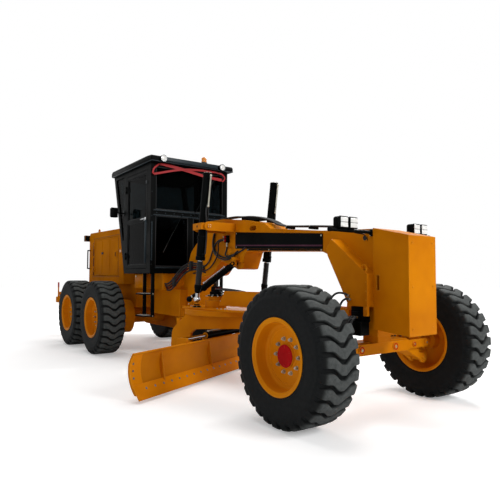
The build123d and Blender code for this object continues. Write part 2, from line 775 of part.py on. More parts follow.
save(build_drawbar(), "drawbar")
GEARBOX = (FRONT_AXLE_X - 2420, -420)
gearbox = rod((*GEARBOX, TABLE_HIGH_Z), (*GEARBOX, 1060), 150)
gearbox = gearbox + rod((*GEARBOX, 1060), (*GEARBOX, 1120), 95)
save(gearbox, "circle_gearbox")

# Circle with the blade arms. Blade pieces are drawn square and then turned about the circle.
TURN = Pos(CIRCLE_X, 0, 0) * Rot(0, 0, BLADE_ANGLE)
ARM_OUTLINE = [
    (450, CIRCLE_LOW_Z + 10, 0),
    (-500, CIRCLE_LOW_Z + 10, 60),
    (-745, 640, 150),
    (-770, 420, 150),
    (-720, 215, 60),
    (-410, 225, 40),
    (-430, 590, 60),
    (-350, 655, 60),
    (450, 700, 0),
]


def tooth_outline():
    """Inner edge of the ring: one closed line round all its teeth."""
    corners = []
    for k in range(TOOTH_COUNT):
        for share, radius in (
            (-TOOTH_ROOT_SHARE / 2, CIRCLE_BORE),
            (-TOOTH_TIP_SHARE / 2, CIRCLE_BORE - TOOTH_HEIGHT),
            (TOOTH_TIP_SHARE / 2, CIRCLE_BORE - TOOTH_HEIGHT),
            (TOOTH_ROOT_SHARE / 2, CIRCLE_BORE),
        ):
            turn = 2 * pi * (k + share) / TOOTH_COUNT
            corners.append((radius * cos(turn), radius * sin(turn)))
    return make_face(Polyline(*corners, close=True))


def build_circle():
    """Ring with its inner teeth and the two arms that carry the blade."""
    thick = CIRCLE_HIGH_Z - CIRCLE_LOW_Z
    ring = extrude(Circle(CIRCLE_RADIUS), thick) - extrude(tooth_outline(), thick)
    circle = Pos(0, 0, CIRCLE_LOW_Z) * ring
    for side in (-1, 1):
        y_low = side * ARM_SPREAD - ARM_THICK / 2
        arm = side_plate(ARM_OUTLINE, y_low, y_low + ARM_THICK, 0)
        pin_hole = rod(
            (-TIP_PIN_BACK, y_low - 1, TIP_PIN_Z),
            (-TIP_PIN_BACK, y_low + ARM_THICK + 1, TIP_PIN_Z),
            TIP_PIN_RADIUS + PIN_CLEARANCE,
        )
        circle = circle + arm - pin_hole
    brace = block(-690, -630, -ARM_SPREAD, ARM_SPREAD, 720, 800)
    return TURN * (circle + brace)


save(build_circle(), "circle")


def build_blade_saddle():
    """Frame that tips on the arm pins, with the rail channels and the side shift barrel."""
    saddle = rod(
        (-TIP_PIN_BACK, -ARM_SPREAD - 45, TIP_PIN_Z),
        (-TIP_PIN_BACK, ARM_SPREAD + 45, TIP_PIN_Z),
        TIP_PIN_RADIUS,
    )
    rear = -RAIL_BACK - 32
    cheek = [
        (-TIP_PIN_BACK - 45, TIP_PIN_Z - 45, 30),
        (-TIP_PIN_BACK - 45, TIP_PIN_Z + 45, 30),
        (rear - 40, RAIL_HIGH_Z + 50, 20),
        (rear + 10, RAIL_HIGH_Z + 50, 0),
        (rear + 10, RAIL_LOW_Z - 50, 0),
        (rear - 40, RAIL_LOW_Z - 50, 20),
    ]
    for side in (-1, 1):
        y_low = side * CHEEK_SPREAD - 25
        saddle = saddle + side_plate(cheek, y_low, y_low + 50, 0)
        post = block(rear, -SLIDE_BACK, y_low, y_low + 50, RAIL_HIGH_Z + 30, SLIDE_Z)
        saddle = saddle + post
    for z in (RAIL_LOW_Z, RAIL_HIGH_Z):
        channel = block(rear, -RAIL_BACK + 38, -CHEEK_SPREAD - 30, CHEEK_SPREAD + 30, z - 40, z + 40)
        low, high = z - RAIL_WIDTH / 2 - 0.3, z + RAIL_WIDTH / 2 + 0.3
        groove = block(-RAIL_BACK - 0.3, -RAIL_BACK + 39, -ARM_SPREAD, ARM_SPREAD, low, high)
        saddle = saddle + (channel - groove)
    axis = (-SLIDE_BACK, SLIDE_Z)
    barrel = rod((axis[0], -500, axis[1]), (axis[0], 850, axis[1]), SLIDE_BARREL)
    bore = rod((axis[0], -501, axis[1]), (axis[0], 851, axis[1]), SLIDE_ROD + PIN_CLEARANCE)
    return TURN * (saddle + barrel - bore)


save(build_blade_saddle(), "blade_saddle")

# Blade section: an arc about an axis in front of it
BLADE_FOOT = Vector(-BLADE_LOW_BACK, BLADE_LOW_Z)
BLADE_HEAD = Vector(-BLADE_TOP_BACK, BLADE_HIGH_Z)
BLADE_CHORD = BLADE_HEAD - BLADE_FOOT
BLADE_NORMAL = Vector(BLADE_CHORD.Y, -BLADE_CHORD.X).normalized()
BLADE_DEPTH = (BLADE_RADIUS**2 - (BLADE_CHORD.length / 2) ** 2) ** 0.5
BLADE_AXIS = (BLADE_FOOT + BLADE_HEAD) * 0.5 + BLADE_NORMAL * BLADE_DEPTH


def blade_point(z, radius):
    """Point of the blade's section at height z on an arc of the given radius."""
    return Vector(BLADE_AXIS.X - (radius**2 - (z - BLADE_AXIS.Y) ** 2) ** 0.5, z)


def blade_face():
    """Section between the front arc and the back arc."""
    back = BLADE_RADIUS + BLADE_THICK
    middle_z = (BLADE_LOW_Z + BLADE_HIGH_Z) / 2
    front_arc = [blade_point(z, BLADE_RADIUS) for z in (BLADE_LOW_Z, middle_z, BLADE_HIGH_Z)]
    back_arc = [blade_point(z, back) for z in (BLADE_LOW_Z, middle_z, BLADE_HIGH_Z)]
    return make_face(
        [
            ThreePointArc(*front_arc),
            Line(front_arc[2], back_arc[2]),
            ThreePointArc(*reversed(back_arc)),
            Line(back_arc[0], front_arc[0]),
        ]
    )


def cut_ends(piece):
    """Slant the piece's upper outer corners, which pass close behind the front tyres."""
    for side in (-1, 1):
        half = side * BLADE_LENGTH / 2
        corner = [
            (half, END_SLANT_LOW_Z, 0),
            (half + side * 10, END_SLANT_LOW_Z, 0),
            (half + side * 10, BLADE_HIGH_Z + 10, 0),
            (half - side * END_SLANT, BLADE_HIGH_Z + 10, 0),
        ]
        piece = piece - front_plate(corner, -200, 0)
    return piece


def build_moldboard():
    """Curved blade with its end plates and the two rails on its back."""
    half = BLADE_LENGTH / 2
    blade = Pos(0, half, 0) * extrude(Plane.XZ * blade_face(), BLADE_LENGTH)
    middle = Pos(BLADE_AXIS.X, 0, BLADE_AXIS.Y) * Rot(90, 0, 0)
    hollow = middle * Cylinder(BLADE_RADIUS + BLADE_THICK / 2, BLADE_LENGTH)
    for z in (RAIL_LOW_Z, RAIL_HIGH_Z):
        low, high = z - RAIL_WIDTH / 2, z + RAIL_WIDTH / 2
        rail = block(-RAIL_BACK, -100, -RAIL_LENGTH / 2, RAIL_LENGTH / 2, low, high)
        blade = blade + (rail - hollow)
    blade = cut_ends(blade)
    ear = block(-SLIDE_BACK - 30, -100, -1120, -1080, BLADE_HIGH_Z - 70, SLIDE_Z + 32)
    return TURN * (blade + (ear - hollow))


save(build_moldboard(), "moldboard")
slide = rod((-SLIDE_BACK, -1079.7, SLIDE_Z), (-SLIDE_BACK, 300, SLIDE_Z), SLIDE_ROD)
save(TURN * slide, "side_shift_rod")


def build_cutting_edge():
    """Flat bolted edge that stands against the lower front of the blade."""
    low = blade_point(BLADE_LOW_Z, BLADE_RADIUS)
    high = blade_point(EDGE_LOW_Z + EDGE_HEIGHT, BLADE_RADIUS)
    slope = (high - low).normalized()
    outward = Vector(slope.Y, -slope.X)
    foot = low - slope * ((BLADE_LOW_Z - EDGE_LOW_Z) / slope.Y)
    inner = [foot + outward * 0.3, high + outward * 0.3]
    outer = [high + outward * (EDGE_THICK + 0.3), foot + outward * (EDGE_THICK + 0.3)]
    corners = [(p.X, p.Y, 0) for p in inner + outer]
    return side_plate(corners, -BLADE_LENGTH / 2, BLADE_LENGTH / 2, 0)


def build_end_bit(side):
    """Curved wear plate bolted upright on one end of the blade's face."""
    z_low, z_high = EDGE_LOW_Z + EDGE_HEIGHT + 6, BLADE_HIGH_Z - 12
    heights = (z_low, (z_low + z_high) / 2, z_high)
    inner = [blade_point(z, BLADE_RADIUS - 0.3) for z in heights]
    outer = [blade_point(z, BLADE_RADIUS - END_BIT_THICK) for z in heights]
    edges = [
        ThreePointArc(*inner),
        Line(inner[2], outer[2]),
        ThreePointArc(*reversed(outer)),
        Line(outer[0], inner[0]),
    ]
    far = max(side * BLADE_LENGTH / 2, side * (BLADE_LENGTH / 2 - END_BIT_WIDTH))
    return Pos(0, far, 0) * extrude(Plane.XZ * make_face(edges), END_BIT_WIDTH)


blade_edges = [build_cutting_edge(), cut_ends(build_end_bit(-1)), cut_ends(build_end_bit(1))]
save([TURN * piece for piece in blade_edges], "cutting_edge")

# Lift cylinders in their gimbal yokes, left one drawn first
LIFT_AXIS = (Vector(*LIFT_EYE) - Vector(*LIFT_YOKE)).normalized()
YOKE_Z = LIFT_YOKE[2]
YOKE_HALF = 98


def lift_point(z):
    """Point on the lift cylinder's axis at height z."""
    share = (z - YOKE_Z) / LIFT_AXIS.Z
    return tuple(Vector(*LIFT_YOKE) + LIFT_AXIS * share)


def build_lift_yoke():
    """Ring that swings on the saddle's fore-and-aft pins and holds the barrel's trunnions."""
    x, y, z = lift_point(YOKE_Z)
    ring = block(x - 118, x + 118, y - YOKE_HALF, y + YOKE_HALF, z - 45, z + 45)
    hollow = block(x - 84, x + 84, y - YOKE_HALF + 24, y + YOKE_HALF - 24, z - 46, z + 46)
    pins = rod((x - 170, y, z), (x - 84, y, z), PIN_RADIUS)
    pins = pins + rod((x + 84, y, z), (x + 170, y, z), PIN_RADIUS)
    bores = rod((x, y - YOKE_HALF - 1, z), (x, y + YOKE_HALF + 1, z), 18 + PIN_CLEARANCE)
    return ring - hollow + pins - bores


def build_lift_barrel():
    """Long barrel with its trunnion stubs and closed top cap."""
    top = lift_point(LIFT_TOP_Z)
    low = lift_point(LIFT_BARREL_LOW_Z)
    x, y, z = lift_point(YOKE_Z)
    barrel = rod(top, low, LIFT_BARREL)
    barrel = barrel + rod(between(top, low, 0.99), low, LIFT_BARREL + 6)
    stubs = rod((x, y - YOKE_HALF, z), (x, y + YOKE_HALF, z), 18)
    bore = rod(between(top, low, 0.06), between(top, low, 1.01), LIFT_BORE)
    return barrel + stubs - bore


def build_lift_rod():
    """Rod with its piston and the ball socket at the foot."""
    low = lift_point(LIFT_EYE[2])
    high = lift_point(LIFT_TOP_Z - 620)
    return ball_rod(high, low, LIFT_ROD, LIFT_BALL, LIFT_BORE - PIN_CLEARANCE, 80)


LIFT_PARTS = {
    "lift_yoke": build_lift_yoke(),
    "lift_barrel": build_lift_barrel(),
    "lift_rod": build_lift_rod(),
}
for name, shape in LIFT_PARTS.items():
    save(shape, f"{name}_left")
    save(flip(shape), f"{name}_right")


def build_lift_saddle():
    """Cross arms on the gooseneck that end in forks for the lift yokes."""
    x, y, z = lift_point(YOKE_Z)
    saddle = None
    for side in (-1, 1):
        for face in (-1, 1):
            inner = x + face * 124
            arm_x = sorted((inner, inner + face * 36))
            arm_y = sorted((side * HALF_FRAME, side * y))
            arm = block(*arm_x, *arm_y, z - 62, z + 62)
            tip = rod((arm_x[0], side * y, z), (arm_x[1], side * y, z), 62)
            hole = rod(
                (arm_x[0] - 1, side * y, z), (arm_x[1] + 1, side * y, z), PIN_RADIUS + PIN_CLEARANCE
            )
            piece = arm + tip - hole
            saddle = piece if saddle is None else saddle + piece
        web_y = sorted((side * HALF_FRAME, side * (y - YOKE_HALF - 60)))
        saddle = saddle + block(x - 160, x + 160, *web_y, z - 20, z + 20)
    return saddle


# Centre shift cylinder between the frame's lug and the drawbar's right side
SHIFT_AXIS = Vector(*SHIFT_EYE) - Vector(*SHIFT_TOP)


SHIFT_PIN = 18


def build_shift_parts():
    """Yoke, barrel and rod of the centre shift cylinder."""
    x, y, z = SHIFT_TOP
    top = Vector(*SHIFT_TOP)
    unit = SHIFT_AXIS.normalized()
    across = Vector(-unit.Y, unit.X, 0).normalized()
    yoke = rod((x, y, z - 36), (x, y, z + 39), 36) + rod((x, y, z), (x, y, z + 92), SHIFT_PIN)
    yoke = yoke + rod(tuple(top - across * 60), tuple(top + across * 60), 14)
    barrel = rod(tuple(top + unit * 80), tuple(top + unit * 650), SHIFT_BARREL)
    barrel = barrel - rod(tuple(top + unit * 100), tuple(top + unit * 651), SHIFT_BORE)
    for side in (-1, 1):
        inner = top + across * (side * 39)
        outer = top + across * (side * 55)
        ear = rod(tuple(inner), tuple(outer), 28)
        frame = Plane(origin=(inner + outer) * 0.5, x_dir=unit, z_dir=across)
        arm = frame * Pos(50, 0, 0) * Box(100, 50, 16)
        bore = rod(tuple(inner - across * side), tuple(outer + across * side), 14 + PIN_CLEARANCE)
        barrel = barrel + (ear + arm - bore)
    piston = SHIFT_BORE - PIN_CLEARANCE
    bar = ball_rod(tuple(top + unit * 330), SHIFT_EYE, SHIFT_ROD, SHIFT_BALL, piston, 36)
    return yoke, barrel, bar


shift_yoke, shift_barrel, shift_rod = build_shift_parts()
save(shift_yoke, "shift_yoke")
save(shift_barrel, "shift_barrel")
save(shift_rod, "shift_rod")


def build_shift_bracket():
    """Ear on the gooseneck's right side that the centre shift yoke hangs from."""
    x, y, z = SHIFT_TOP
    ear = block(x - 45, x + 45, y, -HALF_FRAME - 0.3, z + 45, z + 90)
    tip = rod((x, y, z + 45), (x, y, z + 90), 45)
    return ear + tip - rod((x, y, z + 44), (x, y, z + 91), SHIFT_PIN + PIN_CLEARANCE)


save([build_lift_saddle(), build_shift_bracket()], "cylinder_brackets")

# Cab
CAB_SIDE = [
    (-CAB_FRONT, CAB_LOW_Z, 0),
    (-CAB_FRONT, CAB_HIGH_Z, 0),
    (-CAB_REAR_HIGH, CAB_HIGH_Z, 0),
    (-CAB_REAR_LOW, CAB_LOW_Z, 0),
]
HALF_CAB = CAB_WIDTH / 2


def rear_wall_x(z):
    """Distance behind the front axle of the cab's sloping rear wall at height z."""
    share = (z - CAB_LOW_Z) / (CAB_HIGH_Z - CAB_LOW_Z)
    return CAB_REAR_LOW + (CAB_REAR_HIGH - CAB_REAR_LOW) * share


# Window openings in the front wall: y low, y high, z low, z high
FRONT_WINDOWS = [
    (-HALF_CAB + CAB_POST, HALF_CAB - CAB_POST, BELT_HIGH_Z, CAB_HIGH_Z - 60),
    (-HALF_CAB + CAB_POST, -45, CAB_LOW_Z + 110, BELT_LOW_Z),
    (45, HALF_CAB - CAB_POST, CAB_LOW_Z + 110, BELT_LOW_Z),
]
REAR_WINDOW = (-HALF_CAB + CAB_POST, HALF_CAB - CAB_POST, 2480, CAB_HIGH_Z - 60)
QUARTER_WINDOW = [
    (-DOOR_REAR - 110, 2050, 20),
    (-DOOR_REAR - 110, CAB_HIGH_Z - 70, 20),
    (-rear_wall_x(CAB_HIGH_Z - 70) + 90, CAB_HIGH_Z - 70, 20),
    (-rear_wall_x(2050) + 90, 2050, 20),
]


def build_cab_frame():
    """Hollow cab of posts, floor and rear wall with its window and door openings."""
    shell = side_plate(CAB_SIDE, -HALF_CAB, HALF_CAB)
    inside = [
        (-CAB_FRONT - CAB_WALL, CAB_LOW_Z + 60, 0),
        (-CAB_FRONT - CAB_WALL, CAB_HIGH_Z + 1, 0),
        (-rear_wall_x(CAB_HIGH_Z + 1) + CAB_WALL + 2, CAB_HIGH_Z + 1, 0),
        (-rear_wall_x(CAB_LOW_Z + 60) + CAB_WALL + 2, CAB_LOW_Z + 60, 0),
    ]
    cab = shell - side_plate(inside, -HALF_CAB + CAB_WALL, HALF_CAB - CAB_WALL)
    front = FRONT_AXLE_X - CAB_FRONT
    for y_low, y_high, z_low, z_high in FRONT_WINDOWS:
        cab = cab - block(front - CAB_WALL - 1, front + 1, y_low, y_high, z_low, z_high)
    y_low, y_high, z_low, z_high = REAR_WINDOW
    cab = cab - block(
        FRONT_AXLE_X - CAB_REAR_HIGH - 10, FRONT_AXLE_X - DOOR_REAR - 90, y_low, y_high, z_low, z_high
    )
    cab = cab - side_plate(QUARTER_WINDOW, -HALF_CAB - 1, HALF_CAB + 1)
    opening = (FRONT_AXLE_X - DOOR_REAR, FRONT_AXLE_X - DOOR_FRONT)
    cab = cab - block(*opening, -HALF_CAB - 1, HALF_CAB + 1, DOOR_LOW_Z, DOOR_HIGH_Z)
    for z in DOOR_HINGE_Z:
        fixed, _ = hinge(opening[0], HALF_CAB + HINGE_LEAF, z, opening[0] - 60, opening[0] + 70)
        cab = cab + fixed + flip(fixed)
    return cab


save(build_cab_frame(), "cab_frame")


def pane_across(x, y_low, y_high, z_low, z_high):
    """Upright pane square to the machine, let into its opening."""
    gap = 0.3
    return block(x - GLASS_THICK / 2, x + GLASS_THICK / 2, y_low + gap, y_high - gap, z_low + gap, z_high - gap)


def build_cab_glass():
    """Fixed panes: three in front, one behind and two rear quarters."""
    front = FRONT_AXLE_X - CAB_FRONT - CAB_WALL / 2
    panes = [pane_across(front, *window) for window in FRONT_WINDOWS]
    y_low, y_high, z_low, z_high = REAR_WINDOW
    lean = [
        (-rear_wall_x(z_low) + 18, z_low + 0.3, 0),
        (-rear_wall_x(z_low) + 18 + GLASS_THICK, z_low + 0.3, 0),
        (-rear_wall_x(z_high) + 18 + GLASS_THICK, z_high - 0.3, 0),
        (-rear_wall_x(z_high) + 18, z_high - 0.3, 0),
    ]
    panes.append(side_plate(lean, y_low + 0.3, y_high - 0.3))
    quarter = offset(outline(QUARTER_WINDOW), -0.3)
    for side in (-1, 1):
        middle = side * (HALF_CAB - CAB_WALL / 2)
        pane = extrude(Plane.XZ * quarter, GLASS_THICK)
        panes.append(Pos(FRONT_AXLE_X, middle + GLASS_THICK / 2, 0) * pane)
    return panes


save(build_cab_glass(), "cab_glass")

# Roof with a tapered visor edge, two round lamps under its front and the beacon on top
ROOF_FRONT = 3780
ROOF_REAR = 5620


def build_cab_roof():
    """Roof slab, wider at its lower rim, with lamps and beacon."""
    lower = Pos(FRONT_AXLE_X - (ROOF_FRONT + ROOF_REAR) / 2, 0, CAB_HIGH_Z + 0.3) * Rectangle(
        ROOF_REAR - ROOF_FRONT, ROOF_WIDTH
    )
    middle = Pos(0, 0, ROOF_THICK * 0.45) * lower
    upper = Pos(
        FRONT_AXLE_X - (ROOF_FRONT + ROOF_REAR) / 2, 0, CAB_HIGH_Z + 0.3 + ROOF_THICK
    ) * Rectangle(ROOF_REAR - ROOF_FRONT - 120, ROOF_WIDTH - 120)
    roof = extrude(lower, ROOF_THICK * 0.45) + loft([middle, upper])
    for y in (-600, 540):
        front = FRONT_AXLE_X - ROOF_FRONT
        roof = roof + rod((front - 10, y, CAB_HIGH_Z + 42), (front + 34, y, CAB_HIGH_Z + 42), 46)
    beacon_x = FRONT_AXLE_X - 4010
    top = CAB_HIGH_Z + ROOF_THICK
    return roof + rod((beacon_x, 230, top), (beacon_x, 230, top + 78), 46)


save(build_cab_roof(), "cab_roof")


def build_door():
    """Left cab door: frame with one tall window and a mid rail."""
    door_x = (FRONT_AXLE_X - DOOR_REAR + DOOR_GAP, FRONT_AXLE_X - DOOR_FRONT - DOOR_GAP)
    door_z = (DOOR_LOW_Z + DOOR_GAP, DOOR_HIGH_Z - DOOR_GAP)
    door = block(*door_x, HALF_CAB - CAB_WALL, HALF_CAB, *door_z)
    rails = [(door_z[0] + DOOR_FRAME, 2330), (2330 + DOOR_FRAME, door_z[1] - DOOR_FRAME)]
    panes = []
    middle = HALF_CAB - CAB_WALL / 2
    for z_low, z_high in rails:
        opening = (door_x[0] + DOOR_FRAME, door_x[1] - DOOR_FRAME)
        door = door - block(*opening, HALF_CAB - CAB_WALL - 1, HALF_CAB + 1, z_low, z_high)
        panes.append(
            block(
                opening[0] + 0.3,
                opening[1] - 0.3,
                middle - GLASS_THICK / 2,
                middle + GLASS_THICK / 2,
                z_low + 0.3,
                z_high - 0.3,
            )
        )
    handle_x = door_x[1] - 36
    handle = rod((handle_x, HALF_CAB + 34, 2150), (handle_x, HALF_CAB + 34, 2330), 9)
    for z in (2160, 2320):
        handle = handle + rod((handle_x, HALF_CAB, z), (handle_x, HALF_CAB + 34, z), 8)
    hinge_x = FRONT_AXLE_X - DOOR_REAR
    for z in DOOR_HINGE_Z:
        _, turning = hinge(hinge_x, HALF_CAB + HINGE_LEAF, z, hinge_x - 60, hinge_x + 60)
        door = door + turning
    return door + handle, panes


door, door_panes = build_door()
save(door, "cab_door_left")
save(flip(door), "cab_door_right")
save(door_panes, "door_glass_left")
save([flip(pane) for pane in door_panes], "door_glass_right")

# Seat and steering stand inside the cab
FLOOR_Z = CAB_LOW_Z + 60
SEAT_X = FRONT_AXLE_X - 4700


def build_seat():
    """Seat with pedestal, cushion, backrest and armrests."""
    seat = block(SEAT_X - 150, SEAT_X + 150, -150, 150, FLOOR_Z, FLOOR_Z + 260)
    seat = seat + block(SEAT_X - 250, SEAT_X + 250, -250, 250, FLOOR_Z + 260, FLOOR_Z + 400)
    back = [
        (-130, FLOOR_Z + 400, 0),
        (-250, FLOOR_Z + 400, 0),
        (-330, FLOOR_Z + 1010, 50),
        (-220, FLOOR_Z + 1030, 50),
    ]
    return seat + side_plate(back, -235, 235, SEAT_X)


save(build_seat(), "seat")


def build_controls():
    """Steering stand with its wheel and lever pod."""
    foot_x = FRONT_AXLE_X - 4130
    column = block(foot_x - 110, foot_x + 70, -90, 90, FLOOR_Z, FLOOR_Z + 60)
    column = column + rod((foot_x, 0, FLOOR_Z + 30), (foot_x - 110, 0, FLOOR_Z + 780), 55)
    pod = rod((foot_x - 80, -210, FLOOR_Z + 690), (foot_x - 80, 210, FLOOR_Z + 690), 60)
    centre = Vector(foot_x - 160, 0, FLOOR_Z + 860)
    lean = Plane(origin=centre, z_dir=(-0.35, 0, 1))
    wheel = lean * (Cylinder(200, 24) - Cylinder(168, 26) + Box(340, 40, 20))
    stem = rod((foot_x - 110, 0, FLOOR_Z + 780), tuple(centre), 22)
    return column + pod + stem + wheel


save(build_controls(), "controls")

# Steps that hang under the cab on each side, and the grab rails above them
RAIL_POST_BACK = 60
RAIL_POST_OUT = 60
RAIL_POST_LOW_Z = 1600
RAIL_POST_HIGH_Z = 2350
RAIL_POST_RADIUS = 14
STEP_X = (FRONT_AXLE_X - 4300, FRONT_AXLE_X - 3980)


def build_steps():
    """Ladder of two treads hung from the cab's sill on each side."""
    ladder = None
    for x in STEP_X:
        hanger = block(x - 12, x + 12, 640, 700, 730, CAB_LOW_Z - 0.3)
        ladder = hanger if ladder is None else ladder + hanger
    for z in (750, 1110):
        ladder = ladder + block(STEP_X[0], STEP_X[1], 640, 830, z - 15, z + 15)
    return ladder


def build_handrail():
    """Left grab rail on the cab's front corner post."""
    x = FRONT_AXLE_X - CAB_FRONT - RAIL_POST_BACK
    out = CAB_WIDTH / 2 + RAIL_POST_OUT
    rail = rod((x, out, RAIL_POST_LOW_Z), (x, out, RAIL_POST_HIGH_Z), RAIL_POST_RADIUS)
    for z in (RAIL_POST_LOW_Z + 20, RAIL_POST_HIGH_Z - 20):
        rail = rail + rod((x, CAB_WIDTH / 2 + 0.3, z), (x, out, z), RAIL_POST_RADIUS - 3)
    return rail


steps = build_steps()
handrail = build_handrail()
save([steps, flip(steps), handrail, flip(handrail)], "steps")

# Rear frame with its hitch tongue, rails and the axle housing
RAIL_LOW = 820
RAIL_HIGH = HOOD_LOW_Z - 0.3
HALF_RAIL = REAR_RAIL_WIDTH / 2


def build_rear_frame():
    """Box frame under the engine, with its tongue on the hitch pin and the axle housing."""
    rear = FRONT_AXLE_X - 7600
    frame = block(rear, FRONT_AXLE_X - 5260, -HALF_RAIL, HALF_RAIL, RAIL_LOW, RAIL_HIGH)
    tongue = block(HITCH_X - 420, HITCH_X, -110, 110, 850, 1070)
    tip = rod((HITCH_X, 0, 850), (HITCH_X, 0, 1070), 110)
    pin = rod((HITCH_X, 0, 740), (HITCH_X, 0, 1180), HITCH_PIN_RADIUS - PIN_CLEARANCE)
    housing = rod((TANDEM_X, -CASE_IN_Y, AXLE_Z), (TANDEM_X, CASE_IN_Y, AXLE_Z), AXLE_TUBE_RADIUS)
    tail = block(TOW_X - 60, rear, -200, 200, 800, 1000)
    tow_bore = rod((TOW_X, 0, 799), (TOW_X, 0, 1001), TOW_PIN_RADIUS)
    frame = frame + tongue + tip + pin + housing + (tail - tow_bore)
    for side in (-1, 1):
        ear_y = sorted((side * 225, side * 265))
        ear = block(RIPPER_PIN_X, rear, *ear_y, RIPPER_PIN_Z - 50, 900)
        tip = rod((RIPPER_PIN_X, ear_y[0], RIPPER_PIN_Z), (RIPPER_PIN_X, ear_y[1], RIPPER_PIN_Z), 50)
        frame = frame + ear + tip
    pin_ends = [(RIPPER_PIN_X, y, RIPPER_PIN_Z) for y in (-310, 310)]
    return frame + rod(*pin_ends, RIPPER_PIN_RADIUS)


save(build_rear_frame(), "rear_frame")


def build_tandem_case():
    """Left chain case, long and round-ended, that carries two wheels."""
    half = TANDEM_SPACING / 2
    case = [
        (-half - CASE_RADIUS, AXLE_Z - CASE_RADIUS, CASE_RADIUS * 0.99),
        (half + CASE_RADIUS, AXLE_Z - CASE_RADIUS, CASE_RADIUS * 0.99),
        (half + CASE_RADIUS, AXLE_Z + CASE_RADIUS, CASE_RADIUS * 0.99),
        (-half - CASE_RADIUS, AXLE_Z + CASE_RADIUS, CASE_RADIUS * 0.99),
    ]
    return side_plate(case, CASE_IN_Y, CASE_OUT_Y, TANDEM_X)


tandem = build_tandem_case()
save([tandem, flip(tandem)], "tandem_cases")

HALF_HOOD = HOOD_WIDTH / 2
HOOD_SIDE = [
    (-HOOD_FRONT + 180, HOOD_LOW_Z, 0),
    (-HOOD_FRONT, HOOD_HIGH_Z - 30, 0),
    (-HOOD_REAR, HOOD_HIGH_Z, 90),
    (-HOOD_REAR, HOOD_LOW_Z, 0),
]


def build_hood():
    """Hollow engine hood with openings for its side doors."""
    wall = HOOD_WALL
    hood = side_plate(HOOD_SIDE, -HALF_HOOD, HALF_HOOD)
    inside = [
        (-HOOD_FRONT + 180 - wall - 20, HOOD_LOW_Z - 1, 0),
        (-HOOD_FRONT - wall - 10, HOOD_HIGH_Z - 30 - wall, 0),
        (-HOOD_REAR + wall, HOOD_HIGH_Z - wall, 60),
        (-HOOD_REAR + wall, HOOD_LOW_Z - 1, 0),
    ]
    hood = hood - side_plate(inside, -HALF_HOOD + wall, HALF_HOOD - wall)
    opening = (FRONT_AXLE_X - HOOD_DOOR_REAR, FRONT_AXLE_X - HOOD_DOOR_FRONT)
    hood = hood - block(*opening, -HALF_HOOD - 1, HALF_HOOD + 1, HOOD_DOOR_LOW_Z, HOOD_DOOR_HIGH_Z)
    grille_x = FRONT_AXLE_X - HOOD_REAR
    step = (GRILLE_HIGH_Z - GRILLE_LOW_Z) / GRILLE_SLOTS
    for k in range(GRILLE_SLOTS):
        z = GRILLE_LOW_Z + step * k
        slot_y = (-GRILLE_WIDTH / 2, GRILLE_WIDTH / 2)
        hood = hood - block(grille_x - 1, grille_x + wall + 1, *slot_y, z, z + step * 0.55)
    for z in HOOD_HINGE_Z:
        fixed, _ = hinge(opening[0], HALF_HOOD + HINGE_LEAF, z, opening[0] - 60, opening[0] + 70)
        hood = hood + fixed + flip(fixed)
    return hood


def build_exhaust():
    """Upright exhaust pipe on its muffler foot, with a slant-cut mouth."""
    x, y = EXHAUST_PLACE
    foot_z = HOOD_HIGH_Z - 60
    pipe = rod((x, y, foot_z), (x, y, EXHAUST_TOP_Z), EXHAUST_RADIUS)
    pipe = pipe + rod((x, y, foot_z), (x, y, HOOD_HIGH_Z + 40), EXHAUST_RADIUS + 40)
    pipe = pipe - rod((x, y, EXHAUST_TOP_Z - 220), (x, y, EXHAUST_TOP_Z + 1), EXHAUST_RADIUS - 6)
    mouth = Pos(x, y, EXHAUST_TOP_Z) * Rot(0, 30, 0) * Box(400, 200, 120, align=(Align.CENTER, Align.CENTER, Align.MIN))
    return seat_on_hood(pipe - Pos(0, 0, -20) * mouth)


def build_air_cap():
    """Round dust bowl of the air intake."""
    x, y = AIR_CAP_PLACE
    foot_z = HOOD_HIGH_Z - 60
    cap = rod((x, y, foot_z), (x, y, HOOD_HIGH_Z + 70), 60)
    return seat_on_hood(cap + rod((x, y, HOOD_HIGH_Z + 70), (x, y, HOOD_HIGH_Z + 190), 110))


def seat_on_hood(piece):
    """Trim a piece's foot to the hood's sloping top, a hair above it."""
    under = [
        (-HOOD_FRONT, HOOD_HIGH_Z - 29.7, 0),
        (-HOOD_REAR, HOOD_HIGH_Z + 0.3, 0),
        (-HOOD_REAR, HOOD_LOW_Z, 0),
        (-HOOD_FRONT, HOOD_LOW_Z, 0),
    ]
    return piece - side_plate(under, -HALF_HOOD, HALF_HOOD)


def build_rear_lamp():
    """Left tail lamp on the hood's rear wall, standing out past its side."""
    depth, width, height = REAR_LAMP
    rear = FRONT_AXLE_X - HOOD_REAR - 0.3
    y_low = HALF_HOOD - width / 3
    return block(rear - depth, rear, y_low, y_low + width, REAR_LAMP_LOW_Z, REAR_LAMP_LOW_Z + height)


rear_lamp = build_rear_lamp()
hood_top = [build_exhaust(), build_air_cap(), rear_lamp, flip(rear_lamp)]
save([build_hood(), *hood_top], "hood")
engine = block(
    FRONT_AXLE_X - 7150, FRONT_AXLE_X - 5850, -330, 330, HOOD_LOW_Z, 2150
)
save(engine, "engine")


